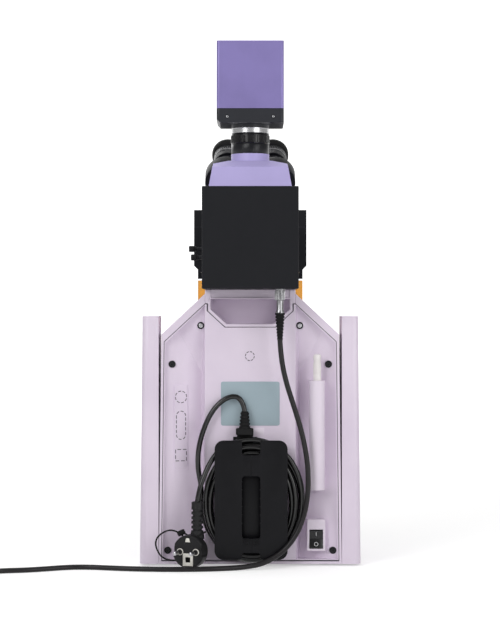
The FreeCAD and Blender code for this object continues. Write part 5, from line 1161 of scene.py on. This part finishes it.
class MICROSCOPE_OT_nosepiece(bpy.types.Operator):
    """Rotating nosepiece with its grip ring and five objectives"""
    bl_idname = "microscope.nosepiece"
    bl_label = "Nosepiece"

    def execute(self, context):
        dress("nosepiece_mount", "black paint", context.scene.microscope_sizes.sheet_edge)
        dress("nosepiece_turret", "bright metal", 0.0005)
        low = -NOSE_DROP + 0.0062
        grip = Piece("nosepiece_grip", "rubber")
        grip.add(lathe([(0.0448, low), (0.0453, low), (0.0457, low + 0.0005), (0.0457, low + 0.0010),
                        (0.0457, low + 0.0080), (0.0457, low + 0.0085), (0.0453, low + 0.0090),
                        (0.0448, low + 0.0090), (0.0448, low)],
                        ribs=(96, 0.0006, low + 0.0010, low + 0.0080)), NOSE)
        grip.done("nosepiece", "rubber_black")
        piece = Piece("objective_set", "steel", "lens glass", "black anodised",
                      *[band for gap, band in OBJECTIVES])
        for position, (gap, band) in enumerate(OBJECTIVES):
            place = NOSE @ Matrix.Rotation(2 * math.pi * position / len(OBJECTIVES), 4, "Z") \
                @ Matrix.Translation((0, -mm(NOSE_REACH), -NOSE_DROP)) @ Matrix.Rotation(-NOSE_TILT, 4, "X") \
                @ Matrix.Rotation(math.pi, 4, "X")
            self.objective(piece, place, mm(PARFOCAL - gap), 3 + position)
        piece.done("nosepiece", "steel", ["objectives"])
        return {"FINISHED"}

    def objective(self, piece, place, reach, band):
        """Thread, knurled shoulder, sleeve with its colour band, and nose; reach is shoulder to tip."""
        neck = reach - 0.009
        piece.add(lathe([(0, -0.003), (0.0094, -0.003), (0.0100, -0.0026), (0.0100, 0), (0.0130, 0),
                         (0.0135, 0.0005), (0.0135, 0.0010), (0.0135, 0.0060), (0.0135, 0.0066),
                         (0.0133, 0.0080), (0.0122, 0.0092), (0.0118, 0.0094), (0.0118, 0.0100),
                         (0, 0.0100)], ribs=(60, 0.0004, 0.0010, 0.0060)), place)
        middle_band = 0.0100 + (neck - 0.0100) * 0.55
        piece.add(lathe([(0, 0.0099), (0.0117, 0.0099), (0.0120, 0.0102), (0.0120, middle_band - 0.0002),
                         (0.0117, middle_band), (0.0117, middle_band + 0.0026),
                         (0.0120, middle_band + 0.0028), (0.0120, neck - 0.0006), (0.0117, neck),
                         (0.0100, neck + 0.0022), (0.0066, neck + 0.0068), (0.0060, neck + 0.0070),
                         (0.0053, reach - 0.0010), (0.0049, reach - 0.0003), (0.0040, reach),
                         (0.0028, reach), (0.0026, reach - 0.0005), (0, reach - 0.0005)], 72), place)
        piece.add(lathe([(0.0116, middle_band + 0.0001), (0.01195, middle_band + 0.0003),
                         (0.01195, middle_band + 0.0024), (0.0116, middle_band + 0.0025),
                         (0.0116, middle_band + 0.0001)], 64), place, band)
        piece.add(lathe([(0.0121, 0.0146), (0.0122, 0.0148), (0.0122, 0.0154), (0.0121, 0.0156),
                         (0.0119, 0.0156), (0.0119, 0.0146), (0.0121, 0.0146)], 64), place, 2)
        piece.add(lathe([(0, reach - 0.0010), (0.0026, reach - 0.0006), (0.0014, reach - 0.0002),
                         (0, reach - 0.0001)], 40), place, 1)


class MICROSCOPE_OT_attachment(bpy.types.Operator):
    """Fluorescence attachment: housing, lid, filter wheel, illuminator tube and its two push rods"""
    bl_idname = "microscope.attachment"
    bl_label = "Fluorescence Attachment"

    def execute(self, context):
        sizes = context.scene.microscope_sizes
        for node in ("fluor_housing", "fluor_lid", "illuminator_tube"):
            dress(node, "black paint", sizes.sheet_edge, segments=3)
        dress("filter_turret", "black anodised", sizes.small_edge)
        self.lid()
        self.wheel()
        for node, body, name in (("filter_slider", "filter_rod", "filter_push_rod"),
                                 ("shutter_slider", "shutter_rod", "shutter_push_rod")):
            low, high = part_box(node)
            centre = middle(node)
            span = high[0] - low[0]
            piece = Piece(name, "black plastic", "black anodised")
            place = placing((low[0], centre.y, centre.z), X)
            piece.add(lathe([(0, 0.0002), (0.0022, 0.0002), (0.0025, 0.0005), (0.0025, span - 0.0088),
                             (0, span - 0.0088)], 40), place, 1)
            start = span - 0.009
            piece.add(lathe([(0, start), (0.0031, start), (0.00345, start + 0.0004),
                             (0.00345, start + 0.0010), (0.0028, start + 0.0014), (0.0028, start + 0.0020),
                             (0.00375, start + 0.0026), (0.00375, span - 0.0008), (0.0034, span - 0.0002),
                             (0.0030, span), (0, span)], ribs=(20, 0.0003, start + 0.0026, span - 0.0008)),
                      place, 0)
            piece.done(body, "black_plastic", [node])
        return {"FINISHED"}

    def lid(self):
        """Screws at the corners of the lid, and a bushing where each rod comes out."""
        low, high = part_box("fluor_lid")
        piece = Piece("attachment_fittings", "black anodised")
        for x in (low[0] + 0.0085, high[0] - 0.0085):
            for y in (low[1] + 0.0085, high[1] - 0.0085):
                piece.add(socket_head(0.0028, 0.0018, 0.0015, 0.0012),
                          Matrix.Translation((x, y, high[2] - 0.0016)))
        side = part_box("illuminator_tube")[1][0]
        for node in ("filter_slider", "shutter_slider"):
            centre = middle(node)
            piece.add(lathe([(0.0030, -0.0005), (0.0052, -0.0005), (0.0052, 0.0016), (0.0047, 0.0021),
                             (0.0030, 0.0021), (0.0030, -0.0005)], 40),
                      placing((side, centre.y, centre.z), X))
        piece.done("stand", "black_anodised")

    def wheel(self):
        low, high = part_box("filter_turret")
        radius = (high[0] - low[0]) / 2
        base = low[2] + 0.0017
        piece = Piece("filter_wheel_grip", "rubber")
        piece.add(lathe([(radius - 0.0006, base), (radius, base), (radius + 0.0003, base + 0.0005),
                         (radius + 0.0003, base + 0.0009), (radius + 0.0003, base + 0.0051),
                         (radius + 0.0003, base + 0.0055), (radius, base + 0.0060),
                         (radius - 0.0006, base + 0.0060), (radius - 0.0006, base)],
                        ribs=(110, 0.0005, base + 0.0009, base + 0.0051)), Matrix.Translation(at(0, -30, 0)))
        piece.done("filter_wheel", "black_anodised")


class MICROSCOPE_OT_shield(bpy.types.Operator):
    """Amber shield in front of the specimen, held by a dark bar"""
    bl_idname = "microscope.shield"
    bl_label = "Shield"

    def execute(self, context):
        dress("uv_shield", "amber", 0.0005)
        centre = at(0, -61.5, 340)
        piece = Piece("shield_bar", "black paint", "black anodised")
        piece.add(lathe([(0, 0), (0.0026, 0), (0.0034, 0.0008), (0.0034, 0.1162), (0.0026, 0.1170),
                         (0, 0.1170)], 48), placing((-0.0585, centre.y, 0.3400), X))
        for side in (-1, 1):
            piece.add(socket_head(0.0022, 0.0012, 0.0012, 0.0008),
                      placing((side * 0.050, centre.y - 0.0033, 0.3400), -Y), 1)
        piece.done("shield", "black_paint")
        return {"FINISHED"}


class MICROSCOPE_OT_lamp_house(bpy.types.Operator):
    """Lamp house behind the attachment, with its lamp inside"""
    bl_idname = "microscope.lamp_house"
    bl_label = "Lamp House"

    def execute(self, context):
        dress("lamp_house", "black paint")
        dress("lamp_module", "steel", 0.0004)
        return {"FINISHED"}


# Viewing head and camera

class MICROSCOPE_OT_viewing_head(bpy.types.Operator):
    """Viewing head with both eye tubes on their common hinge"""
    bl_idname = "microscope.viewing_head"
    bl_label = "Viewing Head"

    def execute(self, context):
        sizes = context.scene.microscope_sizes
        dress("head_body", "head enamel", sizes.casting_edge, segments=3)
        for node in ("eyetube_right", "eyetube_left"):
            dress(node, "black paint", sizes.sheet_edge, segments=3)
        cap = Piece("hinge_cap", "steel")
        cap.add(lathe([(0.0050, 0.0164), (0.0072, 0.0164), (0.0072, 0.0176), (0.0066, 0.0182),
                       (0.0030, 0.0182), (0.0026, 0.0178), (0, 0.0178)], 48), EYES)
        cap.done("head", "steel")
        for side, name in ((1, "right"), (-1, "left")):
            self.eyepiece(side, name)
        return {"FINISHED"}

    def eyepiece(self, side, name):
        place = EYES @ Matrix.Translation((side * 0.030, 0.0225, 0))
        piece = Piece(f"eyepiece_{name}_barrel", "black anodised", "rubber", "lens glass", "pale mark")
        piece.add(lathe([(0, 0.0500), (0.0126, 0.0500), (0.01295, 0.0504), (0.01295, 0.0603),
                         (0.0178, 0.0603), (0.0182, 0.0607), (0.0182, 0.0622), (0.0185, 0.0626),
                         (0.0185, 0.0730), (0.0182, 0.0734), (0.0180, 0.0742), (0.0180, 0.0752),
                         (0.0183, 0.0756), (0.0183, 0.0858), (0.0176, 0.0864), (0.0174, 0.0880),
                         (0, 0.0880)], ribs=(56, 0.0005, 0.0626, 0.0730)), place)
        piece.add(lathe([(0.01805, 0.0744), (0.01815, 0.0745), (0.01815, 0.0749), (0.01805, 0.0750),
                         (0.0178, 0.0750), (0.0178, 0.0744), (0.01805, 0.0744)], 72), place, 3)
        for mark in range(9):
            turn = Matrix.Rotation(math.radians(90 + 9 * (mark - 4)), 4, "Z")
            piece.add(box_between((0.0180, -0.00015, 0.0765),
                                  (0.01835, 0.00015, 0.0785 if mark % 4 else 0.0795)), place @ turn, 3)
        piece.add(lathe([(0.0172, 0.0850), (0.0186, 0.0852), (0.0193, 0.0860), (0.0204, 0.0876),
                         (0.0209, 0.0886), (0.0210, 0.0900), (0.0204, 0.0906), (0.0204, 0.0916),
                         (0.0210, 0.0922), (0.0210, 0.0960), (0.0207, 0.0978), (0.0200, 0.0990),
                         (0.0190, 0.0996), (0.0178, 0.0994), (0.0168, 0.0984), (0.0150, 0.0950),
                         (0.0136, 0.0925), (0.0128, 0.0915), (0.0128, 0.0850), (0.0172, 0.0850)], 96), place,
                  1)
        piece.add(lathe([(0.0112, 0.0860), (0.0128, 0.0860), (0.0128, 0.0916), (0.0112, 0.0922),
                         (0.0110, 0.0916), (0.0110, 0.0905), (0.0112, 0.0860)], 72), place)
        piece.add(lathe([(0, 0.0885), (0.0111, 0.0885), (0.0111, 0.0896), (0.0085, 0.0905), (0.0045, 0.0911),
                         (0, 0.0913)], 72), place, 2)
        piece.done(f"diopter_{name}", "black_plastic", [f"eyepiece_{name}"])


class MICROSCOPE_OT_camera_port(bpy.types.Operator):
    """Camera port on the head, with its ribbed locking ring and the bright flange above it"""
    bl_idname = "microscope.camera_port"
    bl_label = "Camera Port"

    def execute(self, context):
        dress("cmount_adapter", "black anodised", 0.0004)
        low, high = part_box("cmount_ring")
        tall = high[2] - low[2]
        place = Matrix.Translation((0, AXIS_Y, low[2]))
        ring = Piece("locking_ring", "gloss black")
        profile = [(0.0173, 0), (0.0238, 0), (0.0243, 0.0006), (0.0243, 0.0012), (0.0247, 0.0016),
                   (0.0247, 0.0017), (0.0247, tall - 0.0023), (0.0247, tall - 0.0022),
                   (0.0243, tall - 0.0018), (0.0243, tall - 0.0008), (0.0238, tall), (0.0173, tall),
                   (0.0173, 0)]
        ring.add(lathe(profile, ribs=(22, 0.0013, 0.0016, tall - 0.0022)), place)
        ring.done("camera_lock", "black_anodised", ["cmount_ring"])
        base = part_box("camera_base")[0][2]
        flange = Piece("camera_flange", "bright metal")
        flange.add(lathe([(0.0180, 0.0001), (0.0231, 0.0001), (0.0240, 0.0009), (0.0240, 0.0060),
                          (0.0243, 0.0063), (0.0243, 0.0069), (0.0238, 0.0074), (0.0180, 0.0074),
                          (0.0180, 0.0001)], 96), Matrix.Translation((0, AXIS_Y, base)))
        flange.done("head", "bright_metal")
        return {"FINISHED"}


class MICROSCOPE_OT_camera(bpy.types.Operator):
    """Camera: purple case on a black base with four small screws"""
    bl_idname = "microscope.camera"
    bl_label = "Camera"

    def execute(self, context):
        dress("camera_body", "camera purple", 0.0007, segments=3)
        dress("camera_base", "camera black", 0.0007, segments=3)
        low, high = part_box("camera_base")
        piece = Piece("camera_screws", "steel", "shadow")
        for side, face in ((1, high[1]), (-1, low[1])):
            for x in (-0.0287, 0.0287):
                place = placing((x, face, 0.5385), side * Y)
                piece.add(lathe([(0.0022, -0.0002), (0.0022, 0.00008), (0.0016, 0.00008), (0.0016, -0.0002),
                                 (0.0022, -0.0002)], 32), place, 1)
                piece.add(socket_head(0.0015, 0.0008, 0.0008, 0.0007),
                          place @ Matrix.Translation((0, 0, -0.0004)), 0)
        piece.done("head", "steel")
        # A dark strip round the top of the base: painted shade of the joint between base and case.
        seam = Piece("camera_seam_shade", "shadow")
        top = high[2]
        reach = (high[0] - low[0]) / 2 + 0.00006
        strip = slab(square(reach, reach), top - 0.0002, top + 0.0002, corners=0.0035)
        seam.add(strip, Matrix.Translation((0, AXIS_Y, 0)))
        seam.done("head", "black_anodised")
        return {"FINISHED"}


# Stage of the picture

class MICROSCOPE_OT_studio(bpy.types.Operator):
    """Pale floor and backdrop, soft lights and the camera behind the instrument"""
    bl_idname = "microscope.studio"
    bl_label = "Studio"

    def execute(self, context):
        floor = bpy.data.meshes.new("studio_floor")
        form = bmesh.new()
        half, back, high, rise = 14.0, 12.0, 9.0, 2.0
        profile = [(half, 0)]
        for step in range(13):
            angle = math.pi / 2 * step / 12
            profile.append((-back + rise - rise * math.sin(angle), rise - rise * math.cos(angle)))
        profile.append((-back, high))
        rows = [[form.verts.new((side * half, y, z)) for y, z in profile] for side in (-1, 1)]
        for a, b, c, d in zip(rows[0], rows[0][1:], rows[1][1:], rows[1]):
            face = form.faces.new((a, d, c, b))
            face.smooth = True
        bmesh.ops.recalc_face_normals(form, faces=form.faces)
        form.to_mesh(floor)
        form.free()
        made = bpy.data.objects.new("studio_floor", floor)
        context.scene.collection.objects.link(made)
        floor.materials.append(self.paper())
        self.lights(context)
        self.camera(context)
        return {"FINISHED"}

    def paper(self):
        """Paper that glows to the camera and in reflections: faintly near the instrument, where it keeps
        the shadow, and pure white further off."""
        material = bpy.data.materials.new("studio paper")
        material.use_nodes = True
        tree = material.node_tree
        tree.nodes.clear()
        sight = tree.nodes.new("ShaderNodeLightPath")
        seen = tree.nodes.new("ShaderNodeMath")
        seen.operation = "MAXIMUM"
        link(tree, sight.outputs["Is Camera Ray"], seen.inputs[0])
        link(tree, sight.outputs["Is Glossy Ray"], seen.inputs[1])
        through = tree.nodes.new("ShaderNodeMath")
        through.operation = "MAXIMUM"
        link(tree, seen.outputs[0], through.inputs[0])
        link(tree, sight.outputs["Is Transmission Ray"], through.inputs[1])
        matt = tree.nodes.new("ShaderNodeBsdfDiffuse")
        matt.inputs["Color"].default_value = (0.82, 0.82, 0.82, 1)
        glow = tree.nodes.new("ShaderNodeEmission")
        glow.inputs["Color"].default_value = (1, 1, 1, 1)
        away = tree.nodes.new("ShaderNodeVectorMath")
        away.operation = "LENGTH"
        link(tree, tree.nodes.new("ShaderNodeTexCoord").outputs["Object"], away.inputs[0])
        link(tree, spread(tree, away.outputs["Value"], 0.42, 1.0, 1.0, 3.0), glow.inputs["Strength"])
        both = tree.nodes.new("ShaderNodeAddShader")
        link(tree, matt.outputs[0], both.inputs[0])
        link(tree, glow.outputs[0], both.inputs[1])
        mix = tree.nodes.new("ShaderNodeMixShader")
        link(tree, through.outputs[0], mix.inputs["Fac"])
        link(tree, matt.outputs[0], mix.inputs[1])
        link(tree, both.outputs[0], mix.inputs[2])
        out = tree.nodes.new("ShaderNodeOutputMaterial")
        link(tree, mix.outputs[0], out.inputs["Surface"])
        return material

    def lights(self, context):
        world = bpy.data.worlds.new("studio")
        context.scene.world = world
        world.use_nodes = True
        world.node_tree.nodes["Background"].inputs["Color"].default_value = (1, 1, 1, 1)
        world.node_tree.nodes["Background"].inputs["Strength"].default_value = 0.42
        for name, place, aim, wide, power in (
                ("key", (1.5, 2.3, 1.5), (0, 0, 0.3), 1.3, 27),
                ("fill", (-1.9, 2.2, 0.9), (0, 0, 0.3), 1.5, 22),
                ("top", (0, 0.3, 2.6), (0, 0, 0.2), 1.8, 10),
                ("front", (0.6, -2.4, 1.6), (0, 0, 0.3), 1.6, 18)):
            lamp = bpy.data.lights.new(name, "AREA")
            lamp.size = wide
            lamp.energy = power
            holder = bpy.data.objects.new(name, lamp)
            holder.location = place
            holder.rotation_euler = (Vector(aim) - Vector(place)).to_track_quat("-Z", "Y").to_euler()
            context.scene.collection.objects.link(holder)

    def camera(self, context):
        lens = bpy.data.cameras.new("camera")
        lens.sensor_fit = "VERTICAL"
        lens.sensor_height = 36
        lens.lens = 108.9
        lens.clip_end = 20
        eye = bpy.data.objects.new("camera", lens)
        eye.location = (0.0003, 2.3474, 0.293)
        eye.rotation_euler = (math.radians(90), 0, math.radians(180))
        context.scene.collection.objects.link(eye)
        context.scene.camera = eye
        context.scene.view_settings.view_transform = "Standard"


# Panel, registration and the run

STEPS = [MICROSCOPE_OT_studio, MICROSCOPE_OT_castings, MICROSCOPE_OT_rear_cover, MICROSCOPE_OT_tool_holder,
         MICROSCOPE_OT_power_switch, MICROSCOPE_OT_cord_winder, MICROSCOPE_OT_light_exit,
         MICROSCOPE_OT_focus_drive, MICROSCOPE_OT_stage, MICROSCOPE_OT_condenser, MICROSCOPE_OT_nosepiece,
         MICROSCOPE_OT_attachment, MICROSCOPE_OT_shield, MICROSCOPE_OT_lamp_house,
         MICROSCOPE_OT_viewing_head, MICROSCOPE_OT_camera_port, MICROSCOPE_OT_camera,
         MICROSCOPE_OT_lamp_cable, MICROSCOPE_OT_mains_lead]


def make_finishes(colours):
    """Makes every finish of the instrument."""
    tone = {name: tuple(getattr(colours, name)) for name in colours.__annotations__}
    # Every paint and anodised finish below has a paler painted highlight along its edges; the black paint's
    # is the strongest.
    paint("enamel", tone["enamel"], tone["enamel_shade"])
    paint("enamel shade", tone["enamel_shade"])
    paint("head enamel", tone["head"], tinted(tone["head"], 0.94))
    anodised("camera purple", tone["camera"], metallic=0.35, highlight_lift=1.6)
    anodised("camera black", tinted(tone["black_paint"], 2.6), metallic=0.1,
             highlight_lift=2.4, specular=0.35)
    paint("black paint", tone["black_paint"], rough=(0.46, 0.58), depth=0.00006,
          edge=0.9, highlight_lift=4.5, specular=0.18)
    anodised("black anodised", tinted(tone["black_paint"], 1.1), (0.24, 0.36),
             metallic=0.1, specular=0.3)
    plastic("black plastic", tone["black_plastic"], specular=0.25)
    plastic("satin black", tone["black_plastic"], rough=(0.30, 0.42), depth=0.00002,
            specular=0.14)
    plastic("gloss black", tinted(tone["black_plastic"], 0.8), rough=(0.16, 0.28),
            depth=0.00001, coat=0.2, specular=0.3)
    plastic("rubber", tone["rubber"], rough=(0.55, 0.70), grain=1700, depth=0.00005,
            specular=0.2)
    plastic("plug rubber", tinted(tone["rubber"], 2.0), rough=(0.46, 0.60), specular=0.25)
    jacket("cable jacket", tone["jacket"], (0.28, 0.40))
    jacket("glossy cord", tinted(tone["rubber"], 0.6), (0.14, 0.24), specular=0.5)
    machined("steel", tone["steel"])
    machined("bright metal", (0.62, 0.62, 0.63), rough=(0.22, 0.30),
             shade=(0.57, 0.57, 0.58))
    machined("plug metal", (0.34, 0.34, 0.35), rough=(0.24, 0.32), shade=(0.30, 0.30, 0.31))
    clear("amber", tone["shield"], 0.9, (0.08, 0.16), transmission=0.55)
    clear("lens glass", (0.80, 0.88, 0.95), 0.6, (0.02, 0.05), ior=1.52)
    plastic("label foil", tone["label"], rough=(0.38, 0.50), depth=0.00001,
            shade=tinted(tone["label"], 1.05))
    plastic("pale plastic", tone["pale_plastic"], rough=(0.40, 0.52),
            shade=tinted(tone["pale_plastic"], 1.03))
    plastic("milky plastic", (0.80, 0.76, 0.76), rough=(0.20, 0.34), coat=0.2,
            shade=(0.84, 0.81, 0.80))
    plastic("pale contact", (0.76, 0.74, 0.68), rough=(0.35, 0.5),
            shade=(0.80, 0.78, 0.72))
    plastic("pale mark", (0.62, 0.62, 0.63), rough=(0.4, 0.5), depth=0.00001)
    # Dark marks on the cover, and the painted shade in the gap round it.
    plastic("dark mark and seam shade", (0.10, 0.085, 0.11), rough=(0.4, 0.5), depth=0.00001)
    plastic("shadow", (0.004, 0.004, 0.004), rough=(0.8, 0.95), specular=0.1)
    for name, value in (("red", (0.52, 0.02, 0.02)), ("yellow", (0.72, 0.50, 0.03)),
                        ("green", (0.03, 0.30, 0.07)), ("blue", (0.03, 0.12, 0.50)),
                        ("white", (0.70, 0.70, 0.70))):
        plastic(f"{name} band", value, rough=(0.3, 0.4), depth=0.00001)


class MICROSCOPE_PT_pieces(bpy.types.Panel):
    """Lists the instrument's pieces and settings"""
    bl_idname = "MICROSCOPE_PT_pieces"
    bl_label = "Microscope"
    bl_space_type = "VIEW_3D"
    bl_region_type = "UI"
    bl_category = "Microscope"

    def draw(self, context):
        for step in STEPS:
            self.layout.operator(step.bl_idname)
        for group in (context.scene.microscope_sizes, context.scene.microscope_colours):
            for name in group.__annotations__:
                self.layout.prop(group, name)


CLASSES = [MICROSCOPE_PG_colours, MICROSCOPE_PG_sizes, MICROSCOPE_PT_pieces, *STEPS]


def register():
    for kind in CLASSES:
        bpy.utils.register_class(kind)
    bpy.types.Scene.microscope_sizes = PointerProperty(type=MICROSCOPE_PG_sizes)
    bpy.types.Scene.microscope_colours = PointerProperty(type=MICROSCOPE_PG_colours)


def unregister():
    del bpy.types.Scene.microscope_colours
    del bpy.types.Scene.microscope_sizes
    for kind in reversed(CLASSES):
        bpy.utils.unregister_class(kind)


def main():
    register()
    make_finishes(bpy.context.scene.microscope_colours)
    for step in STEPS:
        group, name = step.bl_idname.split(".")
        getattr(getattr(bpy.ops, group), name)()


if __name__ == "__main__":
    main()
